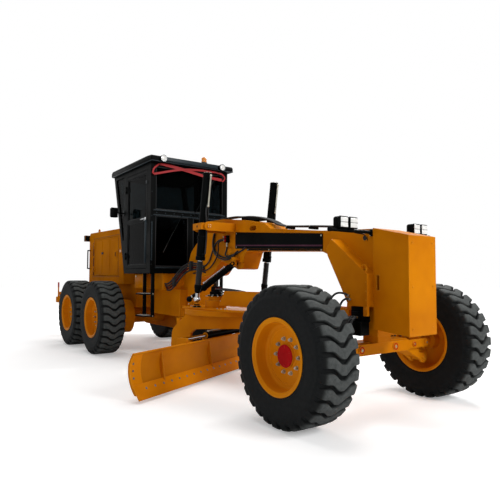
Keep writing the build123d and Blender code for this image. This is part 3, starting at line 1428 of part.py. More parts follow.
def build_hood_door():
    """Left engine door with its hinge knuckles and latch."""
    rear = FRONT_AXLE_X - HOOD_DOOR_REAR
    door_x = (rear + DOOR_GAP, FRONT_AXLE_X - HOOD_DOOR_FRONT - DOOR_GAP)
    door_z = (HOOD_DOOR_LOW_Z + DOOR_GAP, HOOD_DOOR_HIGH_Z - DOOR_GAP)
    door = block(*door_x, HALF_HOOD - HOOD_WALL, HALF_HOOD, *door_z)
    for z in HOOD_HINGE_Z:
        _, turning = hinge(rear, HALF_HOOD + HINGE_LEAF, z, rear - 60, rear + 60)
        door = door + turning
    latch_x = door_x[1] - 90
    return door + block(latch_x, latch_x + 50, HALF_HOOD - 1, HALF_HOOD + 16, 1780, 1900)


hood_door = build_hood_door()
save(hood_door, "hood_door_left")
save(flip(hood_door), "hood_door_right")


def build_ripper():
    """Ripper beam on two arms with its row of shanks."""
    half = RIPPER_WIDTH / 2
    low, high = RIPPER_BAR_X - 65, RIPPER_BAR_X + 65
    beam = block(low, high, -half, half, RIPPER_BAR_Z - 65, RIPPER_BAR_Z + 65)
    for side in (-1, 1):
        arm_y = sorted((side * 268, side * 304))
        arm = block(RIPPER_BAR_X, RIPPER_PIN_X, *arm_y, RIPPER_PIN_Z - 45, RIPPER_PIN_Z + 105)
        ends = [(RIPPER_PIN_X, y, RIPPER_PIN_Z) for y in arm_y]
        over = [(RIPPER_PIN_X, arm_y[0] - 1, RIPPER_PIN_Z), (RIPPER_PIN_X, arm_y[1] + 1, RIPPER_PIN_Z)]
        beam = beam + (arm + rod(*ends, 60) - rod(*over, RIPPER_PIN_RADIUS + PIN_CLEARANCE))
    shank = [
        (-20, RIPPER_BAR_Z + 180, 20),
        (-65, RIPPER_BAR_Z + 180, 20),
        (-65, 600, 30),
        (30, 400, 0),
        (10, 600, 30),
    ]
    spacing = (RIPPER_WIDTH - 200) / (SHANK_COUNT - 1)
    for k in range(SHANK_COUNT):
        y = -half + 100 + spacing * k
        beam = beam + side_plate(shank, y - 30, y + 30, RIPPER_BAR_X)
    for side in (-1, 1):
        y = side * (half - 40)
        beam = beam + rod((RIPPER_BAR_X, y, RIPPER_BAR_Z), (RIPPER_BAR_X, y, MARKER_TOP_Z), MARKER_RADIUS)
    return beam


save(build_ripper(), "ripper")
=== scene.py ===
"""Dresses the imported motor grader: finishes, detailed pieces, studio and camera."""

import logging
import math
from collections.abc import Callable, Iterator
from dataclasses import dataclass, field
from enum import Enum, IntEnum
from typing import ClassVar

import bmesh
import bpy
from mathutils import Matrix, Vector


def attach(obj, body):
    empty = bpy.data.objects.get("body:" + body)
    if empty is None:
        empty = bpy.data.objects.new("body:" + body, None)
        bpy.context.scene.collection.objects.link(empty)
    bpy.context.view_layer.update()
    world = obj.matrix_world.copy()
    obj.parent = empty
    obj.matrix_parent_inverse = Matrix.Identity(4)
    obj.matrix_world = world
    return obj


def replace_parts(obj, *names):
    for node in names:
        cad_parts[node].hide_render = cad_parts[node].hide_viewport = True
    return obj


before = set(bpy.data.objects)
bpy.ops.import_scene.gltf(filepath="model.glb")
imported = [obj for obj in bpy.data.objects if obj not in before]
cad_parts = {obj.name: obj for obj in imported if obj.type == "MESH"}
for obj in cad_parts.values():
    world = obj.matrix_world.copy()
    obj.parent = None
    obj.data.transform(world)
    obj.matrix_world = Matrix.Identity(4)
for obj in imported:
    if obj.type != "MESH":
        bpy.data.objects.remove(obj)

LOG = logging.getLogger("grader")
FRONT_AXLE = 3.9
AXLE_HEIGHT = 0.658032
CIRCLE_CENTRE = Vector((1.4, 0.0, 0.0))
BLADE_TURN = math.radians(25.8)
UP = (0.0, 0.0, 1.0)
DOWN = (0.0, 0.0, -1.0)
FORWARD = (1.0, 0.0, 0.0)
BACK = (-1.0, 0.0, 0.0)
Point = tuple[float, float, float]
Flat = tuple[float, float]


class Side(IntEnum):
    """Sides of the machine; the value is the sign of y there."""

    LEFT = 1
    RIGHT = -1

    def __format__(self, spec: str) -> str:
        """Side as the CAD names it."""
        return self.name.lower()

    @property
    def out(self) -> Vector:
        """Direction that leads out of the machine on this side."""
        return Vector((0.0, float(self), 0.0))


def srgb(code: str) -> tuple[float, float, float, float]:
    """Turn a written colour into the linear values that a shader takes.

    Args:
        code: six-digit sRGB hex value, such as "#D08A10".

    Returns:
        Linear red, green, blue and an alpha of 1.
    """
    parts = [int(code[i : i + 2], 16) / 255 for i in (1, 3, 5)]
    linear = [c / 12.92 if c <= 0.04045 else ((c + 0.055) / 1.055) ** 2.4 for c in parts]
    return (*linear, 1.0)


def grey(value: float) -> tuple[float, float, float, float]:
    """Linear grey of one value."""
    return (value, value, value, 1.0)


def per(size_mm: float) -> float:
    """Scale of a pattern whose cells are this many millimetres across, on coordinates in metres."""
    return 1000.0 / size_mm


def feed(tree: bpy.types.NodeTree, node: bpy.types.Node, inputs: dict) -> None:
    """Set or link a node's sockets.

    Args:
        tree: node tree that holds the node.
        node: the node.
        inputs: socket name or number to a value, an output socket, or a node that gives its first output.
    """
    for key, value in inputs.items():
        if isinstance(value, bpy.types.Node):
            value = value.outputs[0]
        if isinstance(value, bpy.types.NodeSocket):
            tree.links.new(value, node.inputs[key])
        else:
            node.inputs[key].default_value = value


def add(
    tree: bpy.types.NodeTree, kind: str, inputs: dict | None = None, stops: tuple = (), **settings
) -> bpy.types.Node:
    """Add one node with its settings, socket values and incoming links.

    Args:
        tree: node tree that takes the node.
        kind: type of node, without its ShaderNode prefix.
        inputs: what feed takes.
        stops: position and linear colour of each stop, where the node is a ramp.
        **settings: properties of the node itself.

    Returns:
        The new node.
    """
    node = tree.nodes.new("ShaderNode" + kind)
    for key, value in settings.items():
        setattr(node, key, value)
    if stops:
        for element, (place, colour) in zip(node.color_ramp.elements, stops):
            element.position = place
            element.color = colour
    feed(tree, node, inputs or {})
    return node


@dataclass(frozen=True)
class Finish:
    """Surface of one kind of material; its subclasses fill the node tree."""

    name: str

    def material(self) -> bpy.types.Material:
        """Return the Blender material, made on first use."""
        found = bpy.data.materials.get(self.name)
        if found:
            return found
        made = bpy.data.materials.new(self.name)
        made.use_nodes = True
        tree = made.node_tree
        tree.nodes.clear()
        shader = add(tree, "BsdfPrincipled")
        add(tree, "OutputMaterial", {"Surface": shader})
        self.fill(tree, shader)
        return made

    def fill(self, tree: bpy.types.NodeTree, shader: bpy.types.Node) -> None:
        """Set the shader's sockets; a subclass does this."""
        raise NotImplementedError

    @staticmethod
    def place(tree: bpy.types.NodeTree) -> bpy.types.NodeSocket:
        """Object coordinates, in metres."""
        return add(tree, "TexCoord").outputs["Object"]


@dataclass(frozen=True)
class Enamel(Finish):
    """Alkyd enamel sprayed on steel plate.

    It shows a faint orange peel, a slow drift of tone over large plates, road dust low down
    and lighter edges, which are edge wear and also a painted edge highlight.
    """

    colour: str = "#D07D04"
    shade: str = "#BE6C02"
    # Lighter colour of the edges: a painted edge highlight as well as edge wear.
    edge: str = "#E6A032"
    dust: str = "#8A6430"
    dust_top: float = 1.0
    dust_amount: float = 0.22
    roughness: float = 0.36
    specular: float = 0.035
    edge_mm: float = 7.0
    # Orange peel is about 2 mm across; it is drawn at 12.5 mm so that it shows at all.
    peel_mm: float = 12.5

    def fill(self, tree: bpy.types.NodeTree, shader: bpy.types.Node) -> None:
        """Paint tone, lighter edges as wear and painted highlight, dust and peel."""
        place = self.place(tree)
        drift = add(tree, "TexNoise", {"Vector": place, "Scale": per(625), "Detail": 3.0, "Roughness": 0.55})
        tone = add(tree, "ValToRGB", {"Fac": drift}, ((0.35, srgb(self.shade)), (0.62, srgb(self.colour))))
        # The Bevel normal against the true normal finds the edges; they take the lighter edge colour as a painted
        # highlight and as wear.
        rounded = add(tree, "Bevel", {"Radius": self.edge_mm / 1000}, samples=4)
        flat = add(tree, "NewGeometry").outputs["True Normal"]
        facing = add(tree, "VectorMath", {0: rounded, 1: flat}, operation="DOT_PRODUCT").outputs["Value"]
        edge = add(tree, "MapRange", {"Value": facing, "From Min": 0.995, "From Max": 0.9})
        edge_patchiness = add(tree, "TexNoise", {"Vector": place, "Scale": per(111.11), "Detail": 4.0})
        edge_highlight_and_wear = add(tree, "Math", {0: edge, 1: edge_patchiness}, operation="MULTIPLY", use_clamp=True)
        tone_with_edge_highlight = add(tree, "MixRGB", {"Fac": edge_highlight_and_wear, "Color1": tone, "Color2": srgb(self.edge)})
        height = add(tree, "SeparateXYZ", {"Vector": place}).outputs["Z"]
        reach = {"Value": height, "From Min": self.dust_top, "From Max": 0.1, "To Max": self.dust_amount}
        low = add(tree, "MapRange", reach)
        grime = add(tree, "TexNoise", {"Vector": place, "Scale": per(200), "Detail": 6.0, "Roughness": 0.65})
        dusty = add(tree, "Math", {0: low, 1: grime}, operation="MULTIPLY", use_clamp=True)
        paint = add(tree, "MixRGB", {"Fac": dusty, "Color1": tone_with_edge_highlight, "Color2": srgb(self.dust)})
        peel = add(tree, "TexNoise", {"Vector": place, "Scale": per(self.peel_mm), "Detail": 1.0})
        bump = add(tree, "Bump", {"Height": peel, "Strength": 0.05, "Distance": 0.001, "Normal": rounded})
        span = {"Value": grime, "To Min": self.roughness - 0.06, "To Max": self.roughness + 0.16}
        feed(tree, shader, {"Base Color": paint, "Roughness": add(tree, "MapRange", span), "Normal": bump})
        feed(tree, shader, {"Specular IOR Level": self.specular})


@dataclass(frozen=True)
class TyreRubber(Finish):
    """Carbon-black rubber, vulcanised in a mould, on a wheel of known centre.

    The lug tops are scrubbed grey by the ground and lighter still as a painted highlight of the lit tread;
    the grooves keep dust and the flanks stay near black with fine moulded rings.
    """

    centre: Point = (0.0, 0.0, 0.0)
    scuff_mm: float = 41.667
    grain_mm: float = 7.1429
    lug_top: Flat = (0.628, 0.655)
    groove: Flat = (0.6, 0.622)

    def fill(self, tree: bpy.types.NodeTree, shader: bpy.types.Node) -> None:
        """Tone by distance from the axle, lighter lug tops as scuffs and painted highlight, and fine grain."""
        place = self.place(tree)
        centred = add(tree, "Mapping", {"Vector": place, "Location": tuple(-c for c in self.centre)})
        flat = add(tree, "VectorMath", {0: centred, 1: (1.0, 0.0, 1.0)}, operation="MULTIPLY")
        away = add(tree, "VectorMath", {0: flat}, operation="LENGTH").outputs["Value"]
        scuff = add(
            tree, "TexNoise", {"Vector": place, "Scale": per(self.scuff_mm), "Detail": 6.0, "Roughness": 0.7}
        )
        # Lug tops turn grey: scuffed wear plus a painted highlight of the tread, which faces the light.
        top = add(tree, "MapRange", {"Value": away, "From Min": self.lug_top[0], "From Max": self.lug_top[1]})
        scuff_and_light = {"Value": scuff, "From Min": 0.3, "From Max": 0.7, "To Min": 0.45, "To Max": 1.0}
        lit_and_scuffed_share = add(tree, "Math", {0: top, 1: add(tree, "MapRange", scuff_and_light)}, operation="MULTIPLY")
        flank = add(tree, "ValToRGB", {"Fac": scuff}, ((0.3, srgb("#0D0F10")), (0.75, srgb("#191B1C"))))
        tone = add(tree, "MixRGB", {"Fac": lit_and_scuffed_share, "Color1": flank, "Color2": srgb("#505352")})
        deep = {"Value": away, "From Min": self.groove[0], "From Max": self.groove[1], "To Max": 0.4}
        not_top = add(tree, "Math", {0: 1.0, 1: top}, operation="SUBTRACT")
        dust = add(tree, "Math", {0: add(tree, "MapRange", deep), 1: not_top}, operation="MULTIPLY")
        final = add(tree, "MixRGB", {"Fac": dust, "Color1": tone, "Color2": srgb("#1C1D1C")})
        grain = add(tree, "TexNoise", {"Vector": place, "Scale": per(self.grain_mm), "Detail": 3.0})
        bump = add(tree, "Bump", {"Height": grain, "Strength": 0.25, "Distance": 0.001})
        feed(tree, shader, {"Base Color": final, "Normal": bump, "Roughness": 0.7, "Specular IOR Level": 0.1})


@dataclass(frozen=True)
class Moulding(Finish):
    """Moulded rubber or plastic with a fine grain, such as boots, hoses, grips and consoles.

    It is dull and even; the grain is drawn coarser than real so that it shows.
    """

    colour: str
    light: str
    roughness: float = 0.5
    grain_mm: float = 6.0
    specular: float = 0.3

    def fill(self, tree: bpy.types.NodeTree, shader: bpy.types.Node) -> None:
        """Two-tone grain with a small bump."""
        place = self.place(tree)
        grain = add(tree, "TexNoise", {"Vector": place, "Scale": per(self.grain_mm), "Detail": 2.0})
        drift = add(tree, "TexNoise", {"Vector": place, "Scale": per(333.33), "Detail": 3.0})
        tone = add(tree, "ValToRGB", {"Fac": drift}, ((0.35, srgb(self.colour)), (0.7, srgb(self.light))))
        bump = add(tree, "Bump", {"Height": grain, "Strength": 0.2, "Distance": 0.0006})
        feed(tree, shader, {"Base Color": tone, "Normal": bump, "Roughness": self.roughness})
        feed(tree, shader, {"Specular IOR Level": self.specular})


@dataclass(frozen=True)
class BareMetal(Finish):
    """Steel or iron without paint: ground, cast or hard-chromed.

    Blotches of tone and drawn-out scratches break the shine.
    """

    colour: str
    dark: str
    roughness: float = 0.35
    scratch: float = 0.3
    stroke: Point = (12.0, 12.0, 160.0)

    def fill(self, tree: bpy.types.NodeTree, shader: bpy.types.Node) -> None:
        """Metallic shader with drawn-out scratches."""
        place = self.place(tree)
        lines = add(tree, "Mapping", {"Vector": place, "Scale": self.stroke})
        marks = add(tree, "TexNoise", {"Vector": lines, "Scale": 1.0, "Detail": 4.0})
        patch = add(tree, "TexNoise", {"Vector": place, "Scale": per(142.857), "Detail": 5.0})
        tone = add(tree, "ValToRGB", {"Fac": patch}, ((0.3, srgb(self.dark)), (0.65, srgb(self.colour))))
        span = {"Value": marks, "To Min": max(self.roughness - 0.1, 0.04), "To Max": self.roughness + self.scratch}
        bump = add(tree, "Bump", {"Height": marks, "Strength": 0.1, "Distance": 0.0005})
        feed(tree, shader, {"Base Color": tone, "Roughness": add(tree, "MapRange", span), "Normal": bump})
        feed(tree, shader, {"Metallic": 1.0})


@dataclass(frozen=True)
class TintedGlass(Finish):
    """Toughened float glass with a dark body tint; it shows the cab inside only dimly."""

    colour: str = "#23292B"
    roughness: float = 0.02
    specular: float = 0.3
    bend: float = 1.06

    def fill(self, tree: bpy.types.NodeTree, shader: bpy.types.Node) -> None:
        """Clear, tinted and smooth, with a patchy film of dust."""
        film = add(tree, "TexNoise", {"Vector": self.place(tree), "Scale": per(250), "Detail": 5.0})
        span = {"Value": film, "To Min": self.roughness, "To Max": self.roughness + 0.05}
        feed(tree, shader, {"Base Color": srgb(self.colour), "Roughness": add(tree, "MapRange", span)})
        feed(tree, shader, {"Transmission Weight": 1.0, "Specular IOR Level": self.specular, "IOR": self.bend})


@dataclass(frozen=True)
class Lens(Finish):
    """Pressed glass or moulded polycarbonate lens with fine ribs, lit by daylight only."""

    colour: str
    rib_mm: float = 8.0
    transmission: float = 0.35

    def fill(self, tree: bpy.types.NodeTree, shader: bpy.types.Node) -> None:
        """Ribbed, glossy and partly clear."""
        scale = per(self.rib_mm) / 6.28
        ribs = add(tree, "TexWave", {"Vector": self.place(tree), "Scale": scale}, bands_direction="Y")
        full = srgb(self.colour)
        dim = (*(c * 0.72 for c in full[:3]), 1.0)
        tone = add(tree, "ValToRGB", {"Fac": ribs.outputs["Fac"]}, ((0.0, dim), (0.6, full)))
        bump = add(tree, "Bump", {"Height": ribs.outputs["Fac"], "Strength": 0.4, "Distance": 0.001})
        feed(tree, shader, {"Base Color": tone, "Normal": bump, "Roughness": 0.12, "IOR": 1.58})
        feed(tree, shader, {"Transmission Weight": self.transmission})


@dataclass(frozen=True)
class Cloth(Finish):
    """Woven cloth: a plain weave of the given thread spacing, with a sheen."""

    colour: str = "#2A2B30"
    light: str = "#3C3E44"
    thread_mm: float = 3.0
    sheen: float = 0.3
    roughness: float = 0.8

    def fill(self, tree: bpy.types.NodeTree, shader: bpy.types.Node) -> None:
        """Weave from two crossed waves."""
        grid = {"Vector": self.place(tree), "Scale": per(self.thread_mm) / 6.28}
        warp = add(tree, "TexWave", grid, bands_direction="Y").outputs["Fac"]
        weft = add(tree, "TexWave", grid, bands_direction="Z").outputs["Fac"]
        weave = add(tree, "Math", {0: warp, 1: weft}, operation="MULTIPLY")
        tone = add(tree, "ValToRGB", {"Fac": weave}, ((0.0, srgb(self.colour)), (1.0, srgb(self.light))))
        bump = add(tree, "Bump", {"Height": weave, "Strength": 0.3, "Distance": 0.001})
        feed(tree, shader, {"Base Color": tone, "Normal": bump, "Roughness": self.roughness})
        feed(tree, shader, {"Sheen Weight": self.sheen})


# Sprayed enamels. Yellow plates: satin, warm, with lighter edges that are wear and a painted edge highlight; the
# hood's coat is duller.
YELLOW = Enamel("sprayed_yellow_enamel")
# The hood's enamel is also a little darker than the yellow: painted shade on the hood, doors, tandem cases and
# rear frame.
SHADED_REAR_PAINT = Enamel("sprayed_yellow_hood_enamel", "#CC7A04", "#BA6A02", roughness=0.45, specular=0.006)
RIM_PAINT = Enamel("sprayed_orange_rim_enamel", "#D98408", "#CC7604", "#F0AC3C", dust_amount=0.12, edge_mm=4.0)
EDGE_PAINT = Enamel("sprayed_orange_edge_enamel", "#E88C06", "#DA7E04", "#F6B848", dust_amount=0.06, edge_mm=5.0)
# Black: nearly no sheen, edges a little greyer as wear and painted edge highlight. Slate and maroon: dark trim
# that keeps a tint; the slate also paints the highlight on the hand rails.
BLACK = Enamel(
    "sprayed_black_enamel", "#0A0C0C", "#060707", "#1A1E20", "#161614", 1.0, 0.15, 0.34, 0.022, edge_mm=6.0
)
SMOKE = Enamel(
    "sprayed_slate_enamel", "#1C282E", "#141E23", "#33424A", "#26282A", 1.0, 0.1, 0.3, 0.15, edge_mm=4.0
)
MAROON = Enamel("sprayed_maroon_enamel", "#4A1A1C", "#3A1214", "#6A3436", dust_amount=0.1, edge_mm=3.0)
PLUM = Enamel("sprayed_plum_stripe", "#5A3648", "#4A2A3A", "#7A5466", dust_amount=0.0, edge_mm=2.0)
RED = Enamel("sprayed_red_enamel", "#B00C14", "#960810", "#D8403A", dust_amount=0.05, edge_mm=3.0)
# Bare metals: chrome mirrors, ground steel is streaked, zinc is pale and matt, cast iron is dark and rough.
CHROME = BareMetal("hard_chromed_steel", "#C4C6C8", "#9FA2A4", 0.12, 0.1)
STEEL = BareMetal("ground_steel", "#8E8E8A", "#5A5854", 0.38, 0.25)
ZINC = BareMetal("zinc_plated_steel", "#B8B4A6", "#8C887C", 0.3, 0.2)
IRON = BareMetal("cast_iron", "#3A3836", "#242220", 0.6, 0.2)
# Extruded rubbers are dead black and dull; moulded plastics have a soft, even sheen.
HOSE = Moulding("extruded_hose_rubber", "#0E0F10", "#1B1C1E", 0.5, 10.0)
PLASTIC = Moulding("moulded_black_plastic", "#101112", "#1C1D1F")
GREY_PLASTIC = Moulding("moulded_grey_plastic", "#3C3F42", "#505356", 0.55)
PALE_PLASTIC = Moulding("moulded_pale_plastic", "#8C8E8C", "#A4A6A2")
GASKET = Moulding("extruded_gasket_rubber", "#08090A", "#121314", 0.65, 8.0)
# Glass is dark and clear; pressed and moulded lenses catch the light on their ribs.
GLASS = TintedGlass("tinted_float_glass")
LAMP_GLASS = Lens("pressed_lamp_glass", "#F4F4F0", 10.0, 0.0)
AMBER = Lens("amber_polycarbonate", "#F09010", 9.0, 0.15)
TAIL_RED = Lens("red_polycarbonate", "#A01014", 8.0, 0.1)
# Seat cloth is matt and coarse; satin ribbon is smoother and bright red.
SEAT_CLOTH = Cloth("woven_seat_cloth")
RIBBON = Cloth("red_satin_ribbon", "#9C020A", "#B8040C", 4.0, 0.0, 0.6)

CARRIED_OVER: dict[Finish, tuple[str, ...]] = {
    BLACK: (
        "cab_frame", "cab_roof", "cab_door_left", "cab_door_right", "steps", "work_lamps", "lift_barrel_left",
        "lift_barrel_right", "shift_barrel", "shift_rod", "beam_panels",
    ),
    CHROME: ("lift_rod_left", "lift_rod_right", "side_shift_rod"),
    EDGE_PAINT: ("cutting_edge",),
    GLASS: ("cab_glass", "door_glass_left", "door_glass_right"),
    SHADED_REAR_PAINT: ("hood", "hood_door_left", "hood_door_right", "tandem_cases", "rear_frame"),
    IRON: ("engine",),
    PLASTIC: ("controls",),
    SEAT_CLOTH: ("seat",),
}


def plane(across: Point, up: Point, out: Point, origin: Point) -> Matrix:
    """Plane for flat shapes.

    Args:
        across: direction of its first axis.
        up: direction of its second axis.
        out: direction of its third axis, in which a plate grows.
        origin: where its axes start.

    Returns:
        Matrix from the plane's own axes to the machine's.
    """
    return Matrix.Translation(origin) @ Matrix((across, up, out)).transposed().to_4x4()


def side_plane(side: int, out: float) -> Matrix:
    """Plane that looks sideways: u runs forward, v up and the third axis outward from y = side * out."""
    return plane(FORWARD, UP, (0, side, 0), (0, side * out, 0))


def end_plane(way: int, ahead: float) -> Matrix:
    """Plane that looks forward, or back where way is -1: u runs left, v up, from x = ahead."""
    return plane((0, 1, 0), UP, (way, 0, 0), (ahead, 0, 0))


def ring_of(count: int, radius: float, phase: float = 0.0) -> Iterator[Flat]:
    """Give the places of a bolt circle.

    Args:
        count: number of places.
        radius: radius of the circle.
        phase: turn of the whole circle, as a share of one step.

    Yields:
        Two coordinates of each place, from the circle's centre.
    """
    for k in range(count):
        turn = math.tau * (k + phase) / count
        yield radius * math.cos(turn), radius * math.sin(turn)


def touch(node: str, start: Point, way: Point) -> tuple[Vector, Vector]:
    """Find where a straight line first meets a CAD solid.

    Args:
        node: name of the CAD node.
        start: where the line starts.
        way: its direction.

    Returns:
        The point on the solid and the outward direction there.
    """
    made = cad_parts[node]
    back = made.matrix_world.inverted()
    hit, place, normal, _ = made.ray_cast(back @ Vector(start), back.to_3x3() @ Vector(way))
    if not hit:
        raise ValueError(f"no surface of {node} from {start} along {way}")
    return made.matrix_world @ place, (made.matrix_world.to_3x3() @ normal).normalized()


def show(name: str, data: bpy.types.ID) -> bpy.types.Object:
    """Put an object with this data into the scene."""
    made = bpy.data.objects.new(name, data)
    bpy.context.scene.collection.objects.link(made)
    return made


def round_edges(part: bmesh.types.BMesh, edges: list[bmesh.types.BMEdge], offset: float, steps: int = 2) -> None:
    """Round some edges of a shape."""
    bmesh.ops.bevel(
        part, geom=edges, offset=offset, segments=steps, profile=0.5, affect="EDGES", material=-1
    )


def fresh_verts(grown: list) -> list[bmesh.types.BMVert]:
    """Vertices among what an extrusion made."""
    return [g for g in grown if isinstance(g, bmesh.types.BMVert)]


@dataclass
class Blank:
    """One mesh in the making, built with mesh operators and turned into a named piece."""

    bm: bmesh.types.BMesh = field(default_factory=bmesh.new)

    def take(self, other: bmesh.types.BMesh, turn: Matrix | None = None) -> None:
        """Move a finished shape into this mesh.

        Args:
            other: the shape, which is freed.
            turn: where it goes; left as it is when not given.
        """
        if turn is not None:
            bmesh.ops.transform(other, matrix=turn, verts=other.verts)
        spare = bpy.data.meshes.new("spare")
        other.to_mesh(spare)
        other.free()
        self.bm.from_mesh(spare)
        bpy.data.meshes.remove(spare)

    def slab(
        self, low: Point, high: Point, edge: float = 0.003, turn: Matrix | None = None, steps: int = 2
    ) -> None:
        """Add a plate or block between two opposite corners, its edges rounded."""
        part = bmesh.new()
        bmesh.ops.create_cube(part, size=1.0)
        size = Vector([abs(b - a) for a, b in zip(low, high)])
        bmesh.ops.scale(part, vec=size, verts=part.verts)
        bmesh.ops.translate(part, vec=(Vector(low) + Vector(high)) / 2, verts=part.verts)
        if edge:
            round_edges(part, part.edges[:], min(edge, min(size) * 0.45), steps)
        self.take(part, turn)

    def bar(
        self, start: Point, stop: Point, radius: float, sides: int = 20, edge: float = 0, tip: float | None = None
    ) -> None:
        """Add a round bar, or a cone where the radius of its tip is given, from one point to another."""
        start, stop = Vector(start), Vector(stop)
        along = stop - start
        far = radius if tip is None else tip
        part = bmesh.new()
        bmesh.ops.create_cone(
            part, cap_ends=True, segments=sides, radius1=radius, radius2=far, depth=along.length
        )
        if edge:
            rims = [e for e in part.edges if abs(e.verts[0].co.z - e.verts[1].co.z) < 1e-9]
            round_edges(part, rims, edge)
        turn = along.to_track_quat("Z", "Y").to_matrix().to_4x4()
        self.take(part, Matrix.Translation((start + stop) / 2) @ turn)

    def turned(self, section: list[Flat], origin: Point, axis: Point, steps: int = 48) -> None:
        """Add a shape turned about an axis.

        Args:
            section: closed line of (radius, distance along the axis) points.
            origin: point on the axis where the distance is 0.
            axis: direction of the axis.
            steps: number of faces round it.
        """
        part = bmesh.new()
        line = [part.verts.new((radius, 0.0, along)) for radius, along in section]
        for a, b in zip(line, line[1:] + line[:1]):
            if (a.co - b.co).length > 1e-7:
                part.edges.new((a, b))
        whole = part.verts[:] + part.edges[:]
        bmesh.ops.spin(
            part, geom=whole, cent=(0, 0, 0), axis=UP, angle=math.tau, steps=steps, use_merge=True
        )
        bmesh.ops.remove_doubles(part, verts=part.verts, dist=1e-6)
        bmesh.ops.recalc_face_normals(part, faces=part.faces)
        turn = Vector(axis).to_track_quat("Z", "Y").to_matrix().to_4x4()
        self.take(part, Matrix.Translation(origin) @ turn)

    def plate(self, corners: list[Flat], thick: float, turn: Matrix, edge: float = 0.002) -> None:
        """Add a flat plate cut to an outline.

        Args:
            corners: outline in the plate's own plane.
            thick: thickness, towards the plate's own +Z.
            turn: place of the plate's plane.
            edge: radius of its edges.
        """
        part = bmesh.new()
        face = part.faces.new([part.verts.new((u, v, 0.0)) for u, v in corners])
        grown = bmesh.ops.extrude_face_region(part, geom=[face])["geom"]
        bmesh.ops.translate(part, vec=(0, 0, thick), verts=fresh_verts(grown))
        bmesh.ops.recalc_face_normals(part, faces=part.faces)
        if edge:
            round_edges(part, part.edges[:], min(edge, thick * 0.4))
        self.take(part, turn)

    def ball(self, centre: Point, radius: float, squash: Point = (1, 1, 1)) -> None:
        """Add a rounded knob."""
        part = bmesh.new()
        bmesh.ops.create_uvsphere(part, u_segments=20, v_segments=12, radius=radius)
        bmesh.ops.scale(part, vec=squash, verts=part.verts)
        self.take(part, Matrix.Translation(centre))

    def bolt(self, place: Point, outward: Point, radius: float, height: float) -> None:
        """Add a hexagon head on its washer."""
        place, outward = Vector(place), Vector(outward).normalized()
        self.bar(place - outward * 0.002, place + outward * 0.003, radius * 1.25, 16)
        self.bar(place, place + outward * height, radius, 6, edge=radius * 0.12)

    def stud(self, node: str, start: Point, way: Point, radius: float, height: float) -> None:
        """Add a bolt head where a line from start meets a CAD solid."""
        place, outward = touch(node, start, way)
        self.bolt(place, outward, radius, height)

    def surround(self, low: Flat, high: Flat, width: float, thick: float, turn: Matrix) -> None:
        """Add a frame of four strips round an opening, inside its corners low and high."""
        (a, b), (c, d) = low, high
        for start, stop in (
            ((a, b), (c, b + width)),
            ((a, d - width), (c, d)),
            ((a, b + width), (a + width, d - width)),
            ((c - width, b + width), (c, d - width)),
        ):
            self.slab((*start, 0.0), (*stop, thick), min(width, thick) * 0.3, turn)

    def cast(
        self, name: str, finish: Finish, body: str = "front_frame", angle: float = 34.0
    ) -> bpy.types.Object:
        """Turn the mesh into a named piece of the machine.

        Args:
            name: name of the piece.
            finish: its surface.
            body: CAD body that it rides on.
            angle: edges sharper than this many degrees stay sharp.

        Returns:
            The new object.
        """
        mesh = bpy.data.meshes.new(name)
        bmesh.ops.recalc_face_normals(self.bm, faces=self.bm.faces)
        self.bm.to_mesh(mesh)
        self.bm.free()
        mesh.shade_smooth()
        mesh.set_sharp_from_angle(angle=math.radians(angle))
        made = show(name, mesh)
        mesh.materials.append(finish.material())
        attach(made, body)
        LOG.info("%s rides on %s, %d faces", name, body, len(mesh.polygons))
        return made


@dataclass
class Pipe:
    """Round hose or steel line along one smooth curve."""

    name: str
    points: list[Point]
    radius: float
    body: str = "front_frame"
    finish: Finish = HOSE

    def build(self) -> None:
        """Lay the line and give it its finish."""
        curve = bpy.data.curves.new(self.name, "CURVE")
        curve.dimensions = "3D"
        line = curve.splines.new("NURBS")
        line.points.add(len(self.points) - 1)
        for target, point in zip(line.points, self.points):
            target.co = (*point, 1.0)
        line.order_u = 3
        line.use_endpoint_u = True
        line.resolution_u = 8
        curve.bevel_depth = self.radius
        curve.bevel_resolution = 3
        curve.use_fill_caps = True
        curve.materials.append(self.finish.material())
        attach(show(self.name, curve), self.body)
        LOG.info("%s rides on %s", self.name, self.body)


@dataclass
class Assembly:
    """Sub-assembly whose groups of pieces are methods, listed in the order of making."""

    groups: ClassVar[tuple[Callable, ...]] = ()

    def build(self) -> None:
        """Make all groups of pieces."""
        for group in self.groups:
            group(self)


def blanks(count: int) -> list[Blank]:
    """Give some empty meshes."""
    return [Blank() for _ in range(count)]


class Row(Enum):
    """Places of the wheels along the machine."""

    FRONT = "front"
    MID = "mid"
    REAR = "rear"


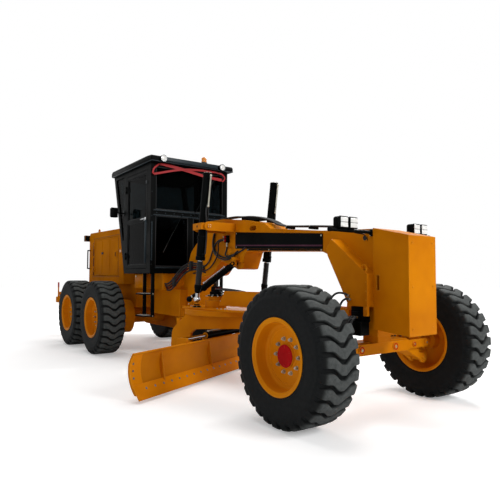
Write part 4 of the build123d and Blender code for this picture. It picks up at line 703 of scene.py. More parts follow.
@dataclass
class Wheel:
    """Tyre with tall wavy lugs on a deep dished rim."""

    row: Row
    side: Side
    tyre_radius: float = 0.66
    lugs: int = 30
    lug_length: float = 0.104
    nuts: int = 10
    nut_circle: float = 0.16
    steps: int = 96

    @property
    def label(self) -> str:
        """Row and side as the CAD names them."""
        return f"{self.row.value}_{self.side}"

    @property
    def body(self) -> str:
        """CAD body that the wheel rides on."""
        return f"wheel_{self.label}"

    @property
    def centre(self) -> Vector:
        """Middle of the wheel."""
        if self.row is Row.FRONT:
            return Vector((FRONT_AXLE, self.side * 1.075, AXLE_HEIGHT))
        ahead = 0.761 if self.row is Row.MID else -0.761
        return Vector((FRONT_AXLE - 6.11 + ahead, self.side * 1.03, AXLE_HEIGHT))

    def crown(self, across: float) -> float:
        """Radius of the lug tops at a distance from the middle of the tread."""
        share = min(abs(across) / 0.207, 1.0)
        return self.tyre_radius - 0.004 * share**2 - 0.034 * max(0, (share - 0.86) / 0.14) ** 1.6

    @staticmethod
    def wave(across: float) -> float:
        """Distance that a lug runs ahead of its shoulder, a V with flat outer arms."""
        table = [(-0.215, 0), (-0.125, 0.004), (-0.098, 0.016), (-0.03, 0.074), (0.022, 0.078)]
        table += [(0.088, 0.022), (0.112, 0.006), (0.215, 0)]
        for (a, fa), (b, fb) in zip(table, table[1:]):
            if a <= across <= b:
                return fa + (fb - fa) * (across - a) / (b - a)
        return 0.0

    def carcass(self, blank: Blank) -> None:
        """Tyre body with bulged flanks, beads and moulded rings."""
        half = [
            (0.336, 0.183), (0.35, 0.2), (0.366, 0.2045), (0.378, 0.209), (0.384, 0.2125), (0.39, 0.2105),
            (0.43, 0.2155), (0.47, 0.219), (0.5, 0.22), (0.535, 0.219), (0.548, 0.22), (0.556, 0.2172),
            (0.585, 0.21), (0.604, 0.2), (0.614, 0.18), (0.619, 0.11), (0.621, 0),
        ]
        section = half + [(radius, -along) for radius, along in reversed(half[:-1])]
        blank.turned(section, self.centre, self.side.out, self.steps)

    def lug(self) -> bmesh.types.BMesh:
        """One lug, drawn along the wheel's own Z and wrapped round its Y axis."""
        part = bmesh.new()
        bmesh.ops.create_grid(part, x_segments=18, y_segments=2, size=1.0)
        grown = bmesh.ops.extrude_face_region(part, geom=part.faces[:])["geom"]
        raised = set(fresh_verts(grown))
        for vert in part.verts:
            share, run = vert.co.x, vert.co.y
            across = share * 0.213
            on_top = vert in raised
            length = self.lug_length * (0.86 if on_top else 1.06)
            if abs(share) > 0.85:
                length *= 0.94
            along = self.wave(across) + run * length / 2
            fade = max(0, (abs(share) - 0.9) / 0.1)
            radius = self.crown(across) - 0.022 * fade
            if not on_top:
                radius = 0.6 - 0.05 * fade
            angle = along / self.tyre_radius
            vert.co = (radius * math.sin(angle), across, radius * math.cos(angle))
        bmesh.ops.recalc_face_normals(part, faces=part.faces)
        ridge = [
            e
            for e in part.edges
            if len(e.link_faces) == 2
            and all(v in raised for v in e.verts)
            and e.calc_face_angle(0) > math.radians(40)
        ]
        round_edges(part, ridge, 0.006)
        return part

    def tyre(self) -> bpy.types.Object:
        """Carcass and lugs as one moulding."""
        blank = Blank()
        self.carcass(blank)
        for k in range(self.lugs):
            turn = Matrix.Translation(self.centre) @ Matrix.Rotation(math.tau * (k + 0.25) / self.lugs, 4, "Y")
            blank.take(self.lug(), turn)
        centre = tuple(self.centre)
        return blank.cast(f"moulded_tyre_{self.label}", TyreRubber(f"tyre_rubber_{self.label}", centre), self.body)

    def rim(self) -> bpy.types.Object:
        """Pressed dish with a rolled lip, deep well, disc and nuts."""
        blank = Blank()
        section = [
            (0.336, 0.183), (0.352, 0.199), (0.36, 0.2035), (0.3625, 0.208), (0.36, 0.2125), (0.354, 0.214),
            (0.346, 0.212), (0.338, 0.207), (0.331, 0.2035), (0.322, 0.2015), (0.317, 0.196), (0.314, 0.17),
            (0.31, 0.105), (0.304, 0.09), (0.292, 0.082), (0.262, 0.078), (0.256, 0.07), (0.215, 0.066),
            (0.125, 0.064), (0.12, 0.034), (0.3, 0.034), (0.312, 0.02), (0.316, -0.06), (0.32, -0.19),
            (0.33, -0.203), (0.345, -0.211), (0.354, -0.213), (0.361, -0.21), (0.36, -0.2035), (0.352, -0.199),
            (0.336, -0.183),
        ]
        blank.turned(section, self.centre, self.side.out, self.steps)
        hub_out = 0.1 if self.row is Row.FRONT else 0.08
        stub = 0.065 if self.row is Row.FRONT else 0.2497
        hub = [
            (0.126, 0.058), (0.124, 0.072), (0.112, 0.076), (0.108, hub_out - 0.006), (0.1, hub_out), (0, hub_out),
            (0, -stub), (0.112, -stub), (0.118, 0.03), (0.126, 0.034),
        ]
        blank.turned(hub, self.centre, self.side.out, 48)
        nuts = Blank()
        for z, x in ring_of(self.nuts, self.nut_circle, 0.5):
            spot = self.centre + Vector((x, self.side * 0.064, z))
            nuts.bolt(spot, self.side.out, 0.0165, 0.024)
            nuts.bar(spot, spot + self.side.out * 0.034, 0.0085, 12, 0.0015)
        nuts.cast(f"wheel_nuts_{self.label}", ZINC, self.body)
        return blank.cast(f"pressed_rim_{self.label}", RIM_PAINT, self.body)

    def cap(self) -> None:
        """Red hub cover of the front wheels."""
        blank = Blank()
        section = [
            (0.106, 0.098), (0.106, 0.102), (0.1, 0.1078), (0.06, 0.1078), (0.052, 0.1078), (0, 0.1078),
            (0, 0.098),
        ]
        blank.turned(section, self.centre, self.side.out, 48)
        for z, x in ring_of(6, 0.084):
            blank.bolt(self.centre + Vector((x, self.side * 0.1075, z)), self.side.out, 0.008, 0.005)
        blank.cast(f"hub_cap_{self.label}", RED, self.body)

    def build(self) -> None:
        """Make the wheel and hide its plain solids."""
        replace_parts(self.tyre(), f"tyre_{self.label}")
        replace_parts(self.rim(), f"rim_{self.label}")
        if self.row is Row.FRONT:
            self.cap()


@dataclass
class BeamTrim(Assembly):
    """Stripe, clamp strips, screws and hydraulic lines on the arched beam."""

    side_y: float = 0.1525
    panel_y: float = 0.1589

    def stripe(self) -> None:
        """Plum line along the foot of each black panel."""
        blank = Blank()
        line = [(1.592, 1.838), (1.592, 1.854), (3.358, 1.762), (3.358, 1.744)]
        for side in Side:
            blank.plate(line, 0.0012, side_plane(side, self.panel_y), 0)
        blank.cast("masked_panel_stripe", PLUM)

    def strips(self) -> None:
        """Black clamp strip under each panel."""
        blank = Blank()
        for side in Side:
            turn = side_plane(side, self.side_y + 0.0003)
            blank.plate([(1.87, 1.759), (1.87, 1.783), (3.36, 1.709), (3.36, 1.692)], 0.007, turn)
        blank.cast("clamp_strips", BLACK)

    def screws(self) -> None:
        """Bright screws of the panels and strips."""
        blank = Blank()
        places = [(3.342, 1.87), (3.345, 1.7005), (2.371, 1.7465), (1.9, 1.77), (1.615, 2.015), (1.615, 1.822)]
        for side in Side:
            for x, z in places:
                out = self.side_y + (0.0072 if z < 1.775 else 0.0063)
                blank.bolt((x, side * out, z), side.out, 0.0085, 0.006)
        blank.cast("panel_screws", ZINC)

    def gusset(self) -> None:
        """Black stiffener beside each lift cylinder, on top of the beam."""
        blank = Blank()
        shape = [(1.6, 2.19), (2.1, 2.175), (1.98, 2.215), (1.74, 2.262), (1.6, 2.27)]
        for y in (-0.06, 0.048):
            blank.plate(shape, 0.012, side_plane(1, y))
        blank.slab((1.63, -0.06, 2.205), (1.76, 0.06, 2.232), 0.006)
        blank.cast("hose_guard", BLACK)

    def manifold(self) -> None:
        """Cover, ports and check valve on each side of the gooseneck."""
        cover, ports, valve, pipes = blanks(4)
        for side in Side:
            y = side * (self.side_y + 0.0003)
            way = side.out
            bowl = [(0, 0), (0.066, 0), (0.066, 0.006), (0.058, 0.012), (0.05, 0.03), (0.03, 0.04), (0, 0.042)]
            cover.turned(bowl, (1.47, y, 1.765), way, 40)
            for x, z in ring_of(6, 0.061):
                cover.bolt((1.47 + x, y + side * 0.006, 1.765 + z), way, 0.006, 0.005)
            valve.slab((1.365, y, 1.895), (1.435, y + side * 0.055, 2.0), 0.006)
            for z in (1.925, 1.975):
                ports.bar((1.4, y + side * 0.05, z), (1.4, y + side * 0.082, z), 0.019, 6, 0.002)
                pipes.bar((1.4, y + side * 0.08, z), (1.4, y + side * 0.094, z), 0.013, 16, 0.002)
            y += side * 0.028
            pipes.bar((1.4, y, 1.895), (1.4, y, 1.835), 0.012)
            pipes.bar((1.4, y, 1.856), (1.4, y, 1.876), 0.019, 6, 0.002)
            pipes.bar((1.365, y, 1.945), (1.33, y, 1.945), 0.015, 6, 0.002)
        cover.cast("gooseneck_covers", YELLOW)
        ports.cast("valve_ports", RED)
        valve.cast("check_valves", BLACK)
        pipes.cast("valve_fittings", ZINC)

    def lines(self) -> None:
        """Hoses that cross the gooseneck and run along the beam's top."""
        for side in reversed(Side):
            y = side * (self.side_y + 0.028)
            arc = [
                (1.4, y, 1.838), (1.4, y, 1.8), (1.36, y + side * 0.01, 1.71), (1.45, y + side * 0.012, 1.69),
                (1.58, y + side * 0.012, 1.705), (1.72, y, 1.74), (1.86, y - side * 0.012, 1.8),
            ]
            Pipe(f"gooseneck_hose_{side}", arc, 0.0125).build()
            rear = [
                (1.33, y, 1.945), (1.25, y, 1.95), (1.12, y, 1.93), (1.0, y, 1.8), (0.9, y, 1.6), (0.62, y, 1.52),
                (0.3, y, 1.5),
            ]
            Pipe(f"gooseneck_feed_{side}", rear, 0.0125).build()
            low = [
                (1.4, y + side * 0.055, 1.925), (1.4, y + side * 0.11, 1.92), (1.34, y + side * 0.12, 1.88),
                (1.22, y + side * 0.03, 1.76), (1.06, y + side * 0.006, 1.6), (0.8, y, 1.47), (0.4, y, 1.45),
            ]
            Pipe(f"lift_feed_{side}", low, 0.011).build()
            for k in range(2):
                out = side * (0.17 + 0.028 * k)
                loop = [
                    (1.1, 2.15), (1.03, 2.04), (1.005, 1.9), (1.06, 1.77), (1.2, 1.7), (1.38, 1.665), (1.56, 1.7),
                ]
                run = [(x + 0.02 * k, out, z - 0.03 * k) for x, z in loop]
                run = [(1.22, side * 0.13, 2.205), (1.15, out, 2.2)] + run + [(1.66, out, 1.76 - 0.02 * k)]
                Pipe(f"gooseneck_arc_{side}_{k + 1}", run, 0.0125).build()
        along = [
            (1.02, 2.285), (1.4, 2.29), (1.62, 2.262), (1.8, 2.252), (1.98, 2.226), (2.3, 2.145), (2.45, 2.062),
            (2.8, 2.028), (3.2, 1.999), (3.6, 1.956),
        ]
        for k, y in enumerate((-0.05, -0.018, 0.014, 0.046)):
            Pipe(f"beam_hose_{k + 1}", [(x, y, z) for x, z in along], 0.0115).build()
        clamps, bolts = blanks(2)
        for x, z in ((2.62, 2.022), (3.05, 1.985), (3.45, 1.952)):
            clamps.slab((x - 0.016, -0.075, z - 0.012), (x + 0.016, 0.07, z + 0.024), 0.004)
            for y in (-0.066, 0.061):
                bolts.bolt((x, y, z + 0.024), UP, 0.007, 0.006)
        clamps.cast("hose_clamps", BLACK)
        bolts.cast("hose_clamp_bolts", ZINC)

    groups = (stripe, strips, screws, gusset, manifold, lines)


@dataclass
class NoseTrim(Assembly):
    """Small pieces of the nose and the ballast box."""

    def holes(self) -> None:
        """Rims round bores in the nose's sides, each with a thin black disc as painted shade of the bore."""
        rims, dark = blanks(2)
        ring = [(0.026, 0), (0.036, 0), (0.034, 0.005), (0.028, 0.006)]
        for side in Side:
            rims.turned(ring, (3.985, side * 0.1527, 1.8), side.out, 32)
            # A thin black disc over the nose side stands for the inside of the bore: painted shade.
            dark.bar((3.985, side * 0.1523, 1.8), (3.985, side * 0.1555, 1.8), 0.0262, 32)
        rims.cast("nose_bore_rims", YELLOW)
        dark.cast("nose_bores", GASKET)

    def brackets(self) -> None:
        """Lifting eyes on the cheeks, tags under them and the box's bolts."""
        eyes, bolts = blanks(2)
        ring = [(0.017, -0.008), (0.034, -0.008), (0.034, 0.008), (0.017, 0.008)]
        for side in Side:
            y = side * 0.285
            place, _ = touch("main_frame", (4.085, y, 1.9), DOWN)
            eyes.turned(ring, place + Vector((0, 0, 0.026)), side.out, 28)
            eyes.slab((4.05, y - 0.008, place.z - 0.02), (4.12, y + 0.008, place.z + 0.012), 0.003)
            eyes.slab((4.085, side * 0.272, 1.0), (4.137, side * 0.309, 1.0948), 0.004)
            for z in (1.03, 1.068):
                bolts.bolt((4.111, side * 0.309, z), side.out, 0.01, 0.008)
            for z in (1.16, 1.25, 1.34):
                bolts.stud("main_frame", (4.125, side * 0.6, z), (0, -side, 0), 0.007, 0.004)
        for y in (-0.16, 0.16):
            for z in (0.9, 1.3, 1.72):
                bolts.stud("front_box", (5.0, y, z), BACK, 0.009, 0.005)
        eyes.cast("nose_brackets", YELLOW)
        bolts.cast("nose_bolts", YELLOW)

    def valve_block(self) -> None:
        """Black valve block under each cheek and its hoses down to the axle."""
        block, ends = blanks(2)
        for side in reversed(Side):
            block.slab((3.9, side * 0.1535, 0.93), (4.05, side * 0.285, 1.0946), 0.01, steps=3)
            block.slab((3.93, side * 0.285, 0.95), (4.03, side * 0.315, 1.04), 0.008)
            block.slab((3.95, side * 0.2, 0.8), (4.075, side * 0.335, 0.94), 0.01, steps=3)
            for k in range(3):
                x = 3.945 + 0.036 * k
                ends.bar((x, side * 0.315, 0.985), (x, side * 0.345, 0.985), 0.013, 6, 0.002)
                run = [
                    (x, side * 0.34, 0.985), (x, side * 0.375, 0.98), (x - 0.01, side * 0.4, 0.93),
                    (x - 0.02, side * (0.4 + 0.03 * k), 0.84), (x - 0.03, side * (0.41 + 0.05 * k), 0.735),
                ]
                Pipe(f"valve_hose_{side}_{k + 1}", run, 0.013).build()
        block.cast("axle_valve_blocks", BLACK)
        ends.cast("axle_valve_fittings", ZINC)

    def slots(self) -> None:
        """Lip of the hand slots in the ballast box, and a black sheet at the back of each slot as painted shade.
        """
        lips, dark = blanks(2)
        for side in Side:
            lips.surround((4.174, 1.253), (4.226, 1.417), 0.009, 0.004, side_plane(side, 0.2157))
            # Thin black sheet deep in the slot: painted shade of the recess.
            dark.slab((4.184, side * 0.157, 1.263), (4.216, side * 0.158, 1.407), 0)
        lips.cast("slot_lips", YELLOW)
        dark.cast("slot_linings", GASKET)

    groups = (holes, brackets, valve_block, slots)


@dataclass
class WorkLamps:
    """Lamp bar over the nose, four lamps on it and one lamp on each side of the cab."""

    bar_x: float = 4.1
    bar_z: float = 1.846
    half_bar: float = 0.8
    size: float = 0.118

    def front_cases(self, cases: Blank, lenses: Blank, bezels: Blank) -> None:
        """Four square lamps, each with two lens halves."""
        half = self.size / 2
        x, z = self.bar_x, self.bar_z
        for y in (-0.64, -0.505, 0.505, 0.64):
            cases.slab((x - 0.054, y - half, z + 0.014), (x + 0.036, y + half, z + 0.132), 0.026, steps=5)
            cases.slab((x + 0.028, y - half, z + 0.014), (x + 0.052, y + half, z + 0.132), 0.012, steps=3)
            cases.bar((x, y, z - 0.008), (x, y, z + 0.03), 0.017)
            for low, high in ((0.025, 0.0715), (0.0745, 0.121)):
                inset = half - 0.01
                lenses.slab((x + 0.046, y - inset, z + low), (x + 0.0565, y + inset, z + high), 0.009, steps=3)
            inset = half - 0.006
            bezels.slab((x + 0.047, y - inset, z + 0.071), (x + 0.0545, y + inset, z + 0.075), 0.001)

    def cab_cases(self, cases: Blank, lenses: Blank) -> None:
        """Lamp, arm and foot on each side wall of the cab."""
        for side in Side:
            cases.slab((-1.198, side * 0.886, 2.462), (-1.12, side * 1.014, 2.638), 0.026, steps=4)
            cases.slab((-1.132, side * 0.886, 2.462), (-1.111, side * 1.014, 2.638), 0.01)
            lenses.slab((-1.2085, side * 0.898, 2.476), (-1.196, side * 1.002, 2.624), 0.006)
            cases.bar((-1.16, side * 0.7505, 2.55), (-1.16, side * 0.892, 2.55), 0.014)
            cases.slab((-1.2, side * 0.7503, 2.5), (-1.12, side * 0.758, 2.6), 0.003)

    def build(self) -> None:
        """Make the bar, the lamps and their cables."""
        cases, lenses, bezels, bolts = blanks(4)
        x, z = self.bar_x, self.bar_z
        for side in Side:
            inner, outer = side * 0.1527, side * self.half_bar
            cases.bar((x, inner, z), (x, outer, z), 0.0185, 28, 0.003)
            cases.bar((x, inner, z), (x, side * 0.205, z), 0.03, 28, 0.005)
            cases.bar((x, outer - side * 0.022, z), (x, outer, z), 0.023, 24, 0.004)
            cases.slab((x - 0.045, inner, z - 0.036), (x + 0.034, side * 0.166, z + 0.036), 0.006)
            for ahead in (-0.034, 0.024):
                bolts.bolt((x + ahead, side * 0.166, z - 0.024), side.out, 0.007, 0.006)
        self.front_cases(cases, lenses, bezels)
        self.cab_cases(cases, lenses)
        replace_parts(cases.cast("work_lamp_cases", BLACK), "work_lamps")
        lenses.cast("work_lamp_lenses", LAMP_GLASS)
        bezels.cast("work_lamp_bezels", PLASTIC)
        bolts.cast("lamp_bar_bolts", ZINC)
        for side in reversed(Side):
            run = [
                (4.05, side * 0.505, 1.885), (4.03, side * 0.48, 1.855), (4.072, side * 0.38, 1.83),
                (4.075, side * 0.27, 1.826), (4.05, side * 0.2, 1.8), (4.02, side * 0.157, 1.775),
            ]
            Pipe(f"lamp_cable_{side}", run, 0.005).build()


@dataclass
class AxleTrim(Assembly):
    """Pin caps, bosses, grease fittings and steering hoses of the leaning front axle."""

    pin_y: float = 0.83
    pin_low: float = 0.47
    pin_high: float = 0.65
    king_y: float = 0.9

    def cap(self, blank: Blank, place: Point, way: Point, radius: float, height: float) -> None:
        """Add a turned cap with a raised middle."""
        section = [
            (0, 0), (radius, 0), (radius, height * 0.6), (radius * 0.86, height * 0.8),
            (radius * 0.52, height * 0.8), (radius * 0.46, height), (0, height),
        ]
        blank.turned(section, place, way, 32)

    def link_bosses(self) -> None:
        """Bosses on the leaning link, with red marks."""
        boss, marks, bolts = blanks(3)
        for y in (-0.27, 0.27, -0.6, 0.6):
            big = 0.043 if abs(y) < 0.5 else 0.03
            self.cap(boss, (4.0243, y, 0.648), FORWARD, big, 0.014)
            ring = [(big * 0.6, 0.0112), (big * 0.84, 0.0112), (big * 0.84, 0.0135), (big * 0.6, 0.0135)]
            marks.turned(ring, (4.0243, y, 0.648), FORWARD, 32)
            bolts.bolt((4.038, y, 0.648), FORWARD, big * 0.26, 0.006)
        boss.cast("link_bosses", YELLOW, "lean_link")
        marks.cast("link_marks", RED, "lean_link")
        bolts.cast("link_bolts", ZINC, "lean_link")

    def pins(self) -> None:
        """Caps and locking plates on the lean and king pins."""
        for side in Side:
            caps, bolts = blanks(2)
            y = side * self.pin_y
            self.cap(caps, (4.0243, y, self.pin_high), FORWARD, 0.034, 0.012)
            bolts.bolt((4.036, y, self.pin_high), FORWARD, 0.01, 0.006)
            for way in (1, -1):
                start = (FRONT_AXLE, side * self.king_y, 0.65 + way * 0.5)
                spot, outward = touch(f"lean_yoke_{side}", start, (0, 0, -way))
                self.cap(caps, spot + outward * 0.0002, outward, 0.03, 0.014)
                bolts.bolt(spot + outward * 0.013, outward, 0.006, 0.008)
            caps.cast(f"lean_caps_{side}", YELLOW, f"lean_{side}")
            bolts.cast(f"lean_bolts_{side}", ZINC, f"lean_{side}")
            frame_caps = Blank()
            self.cap(frame_caps, (3.9903, y, self.pin_low), FORWARD, 0.032, 0.012)
            frame_caps.bolt((4.002, y, self.pin_low), FORWARD, 0.01, 0.006)
            frame_caps.cast(f"axle_pin_cap_{side}", YELLOW)

    def axle_bolts(self) -> None:
        """Bolts of the axle's bearing and the steering cylinder's clamps."""
        bolts, clamps = blanks(2)
        for y in (-0.42, -0.34, 0.34, 0.42):
            for z in (0.63, 0.69):
                bolts.stud("front_axle", (4.4, y, z), BACK, 0.011, 0.008)
        for y in (-0.3, 0.3):
            clamps.slab((3.706, y - 0.02, 0.62), (3.812, y + 0.02, 0.712), 0.006)
        bolts.cast("axle_bolts", YELLOW)
        clamps.cast("steering_clamps", BLACK)

    def hoses(self) -> None:
        """Steering and lean hoses between the nose and the axle."""
        for side in reversed(Side):
            outer = [
                (3.9, side * 0.316, 1.2), (3.88, side * 0.38, 1.235), (3.8, side * 0.43, 1.22),
                (3.72, side * 0.44, 1.1), (3.74, side * 0.43, 0.9), (3.79, side * 0.4, 0.735),
            ]
            inner = [
                (3.92, side * 0.316, 1.16), (3.9, side * 0.35, 1.18), (3.83, side * 0.37, 1.12),
                (3.79, side * 0.36, 0.95), (3.83, side * 0.33, 0.735),
            ]
            third = [
                (3.86, side * 0.2, 0.93), (3.8, side * 0.26, 0.9), (3.76, side * 0.28, 0.82),
                (3.77, side * 0.27, 0.72),
            ]
            Pipe(f"lean_hose_{side}", outer, 0.0115).build()
            Pipe(f"lean_return_{side}", inner, 0.0115).build()
            Pipe(f"steer_hose_{side}", third, 0.01).build()
            ends = Blank()
            for z, x in ((1.2, 3.9), (1.16, 3.92)):
                ends.bar((x, side * 0.3103, z), (x, side * 0.334, z), 0.016, 6, 0.002)
            for x, y in ((3.79, 0.4), (3.83, 0.33)):
                ends.bar((x, side * y, 0.7173), (x, side * y, 0.748), 0.016, 6, 0.002)
            ends.cast(f"axle_fittings_{side}", ZINC)

    groups = (link_bosses, pins, axle_bolts, hoses)


@dataclass
class LiftGear(Assembly):
    """Fittings of one blade lift cylinder: collar, gland, boot, lines and clevis cap."""

    side: Side
    pivot: Point = (1.42, 0.6, 2.1)
    eye: Point = (1.26, 0.6, 1.07)
    barrel: float = 0.062
    rod: float = 0.032

    def on_axis(self, height: float) -> Vector:
        """Point of the cylinder's axis at a height."""
        share = (height - self.pivot[2]) / (self.eye[2] - self.pivot[2])
        x = self.pivot[0] + (self.eye[0] - self.pivot[0]) * share
        return Vector((x, self.side * self.pivot[1], height))

    def cylinder(self) -> None:
        """Head, gland and ports of the barrel with its steel lines."""
        axis = self.on_axis(3.0) - self.on_axis(2.0)
        body = f"lift_cylinder_{self.side}"
        ends, bright = blanks(2)
        head = [(0, 0), (0.066, 0), (0.066, 0.01), (0.046, 0.013), (0.046, 0.032), (0, 0.032)]
        ends.turned(head, self.on_axis(2.822), axis, 40)
        gland = [
            (self.barrel - 0.004, 0), (self.barrel + 0.007, 0), (self.barrel + 0.007, 0.04),
            (self.barrel + 0.0005, 0.046), (self.barrel - 0.004, 0.046),
        ]
        for height in (1.64, 1.93):
            ends.turned(gland, self.on_axis(height), axis, 40)
        for x, y in ring_of(8, 0.046):
            bright.bolt(self.on_axis(2.853) + Vector((x, y, 0)), axis, 0.007, 0.006)
        for height in (2.78, 2.4, 1.7):
            port = self.on_axis(height)
            ends.slab(port + Vector((0.059, -0.02, -0.02)), port + Vector((0.088, 0.02, 0.02)), 0.004)
        ahead = Vector((0.098, 0, 0))
        bright.bar(self.on_axis(2.8) + ahead, self.on_axis(2.38) + ahead, 0.0105)
        for height in (2.8, 2.38):
            bright.ball(self.on_axis(height) + Vector((0.096, 0, 0)), 0.016)
        ends.cast(f"lift_heads_{self.side}", BLACK, body)
        bright.cast(f"lift_lines_{self.side}", ZINC, body)
        run = [
            (2.4, 0.08, 0.01), (2.3, 0.08, 0.028), (2.2, 0.08, 0), (1.95, 0.088, -0.02), (1.8, 0.088, -0.02),
            (1.71, 0.088, -0.02),
        ]
        hose = [tuple(self.on_axis(z) + Vector((x, y * self.side, 0))) for z, x, y in run]
        Pipe(f"lift_hose_{self.side}", hose, 0.011, body).build()

    def piston(self) -> None:
        """Ribbed boot, clamp and neck of the rod."""
        axis = self.on_axis(2.0) - self.on_axis(3.0)
        body = f"lift_piston_{self.side}"
        boot = Blank()
        outer, ribs, length = [], 16, 0.335
        for k in range(ribs):
            a = length * k / ribs
            b = length * (k + 0.5) / ribs
            outer += [(0.0385, a), (0.045, a + 0.005), (0.045, b), (0.0385, b + 0.003)]
        section = [(self.rod - 0.002, 0)] + outer + [(0.0385, length), (self.rod - 0.002, length)]
        boot.turned(section, self.on_axis(1.615), axis, 36)
        boot.cast(f"rod_boot_{self.side}", HOSE, body, 25.0)
        block = Blank()
        collar = [
            (0.03, 0), (0.046, 0), (0.052, 0.01), (0.052, 0.05), (0.046, 0.06), (0.046, 0.085), (0.04, 0.11),
            (0.034, 0.122), (0.03, 0.122),
        ]
        block.turned(collar, self.on_axis(1.283), axis, 36)
        block.cast(f"rod_collar_{self.side}", BLACK, body)

    def cap(self) -> None:
        """Seat ring and bolts round the stud under the ball."""
        ring, bolts = blanks(2)
        x, y = self.eye[0], self.side * self.eye[1]
        seat = [(0.0335, 0), (0.062, 0), (0.062, 0.01), (0.05, 0.02), (0.0345, 0.022), (0.0335, 0.022)]
        ring.turned(seat, (x, y, 0.9586), UP, 36)
        collar = [(0.0342, 0), (0.04, 0.002), (0.04, 0.012), (0.0342, 0.014)]
        ring.turned(collar, (x, y, 0.99), UP, 36)
        for u, v in ring_of(6, 0.055, 0.5):
            bolts.bolt((x + u, y + v, 0.968), UP, 0.0055, 0.006)
        ring.cast(f"lift_seat_{self.side}", BLACK, "drawbar_frame")
        bolts.cast(f"lift_seat_bolts_{self.side}", ZINC, "drawbar_frame")

    def ring(self) -> None:
        """Trunnion caps and bolts on the yoke that carries the barrel."""
        caps, bolts = blanks(2)
        for way in (-1, 1):
            start = self.on_axis(self.pivot[2]) + Vector((way * 0.4, 0, 0))
            spot, outward = touch(f"lift_yoke_{self.side}", start, (-way, 0, 0))
            caps.turned([(0, 0), (0.03, 0), (0.03, 0.006), (0.022, 0.01), (0, 0.01)], spot, outward, 28)
            for y, z in ring_of(4, 0.023, 0.5):
                bolts.bolt(spot + Vector((way * 0.006, y, z)), (way, 0, 0), 0.0045, 0.005)
        caps.cast(f"yoke_caps_{self.side}", YELLOW, f"lift_ring_{self.side}")
        bolts.cast(f"yoke_bolts_{self.side}", ZINC, f"lift_ring_{self.side}")

    groups = (cylinder, piston, cap, ring)


@dataclass
class ShiftGear:
    """Fittings of the cylinder that shifts the drawbar sideways."""

    top: Point = (1.65, -0.215, 1.58)
    eye: Point = (0.95, -0.55, 1.06)

    def build(self) -> None:
        """Glands, ports, line and hoses of the barrel."""
        start, stop = Vector(self.top), Vector(self.eye)
        axis = (stop - start).normalized()
        across = Vector((-axis.y, axis.x, 0)).normalized()
        up = across.cross(axis) * (-1 if across.cross(axis).z < 0 else 1)
        ends, bright = blanks(2)
        band = [(0.042, 0), (0.0505, 0), (0.0505, 0.03), (0.0455, 0.034), (0.042, 0.034)]
        for along in (0.1, 0.61):
            ends.turned(band, start + axis * along, axis, 36)
        lip = [(0.028, 0), (0.036, 0), (0.036, 0.006), (0.028, 0.006)]
        ends.turned(lip, start + axis * 0.6505, axis, 32)
        for along in (0.16, 0.585):
            spot = start + axis * along + up * 0.044
            bright.bar(spot, spot + up * 0.026, 0.014, 6, 0.002)
        line_start = start + axis * 0.18 + up * 0.058
        bright.bar(line_start, start + axis * 0.57 + up * 0.058, 0.008)
        ends.cast("shift_glands", BLACK, "shift_cylinder")
        bright.cast("shift_line", CHROME, "shift_cylinder")
        wiper = Blank()
        wiper.turned([(0.0262, 0), (0.034, 0), (0.03, 0.02), (0.0262, 0.022)], stop - axis * 0.085, axis, 28)
        wiper.cast("shift_collar", CHROME, "shift_piston")


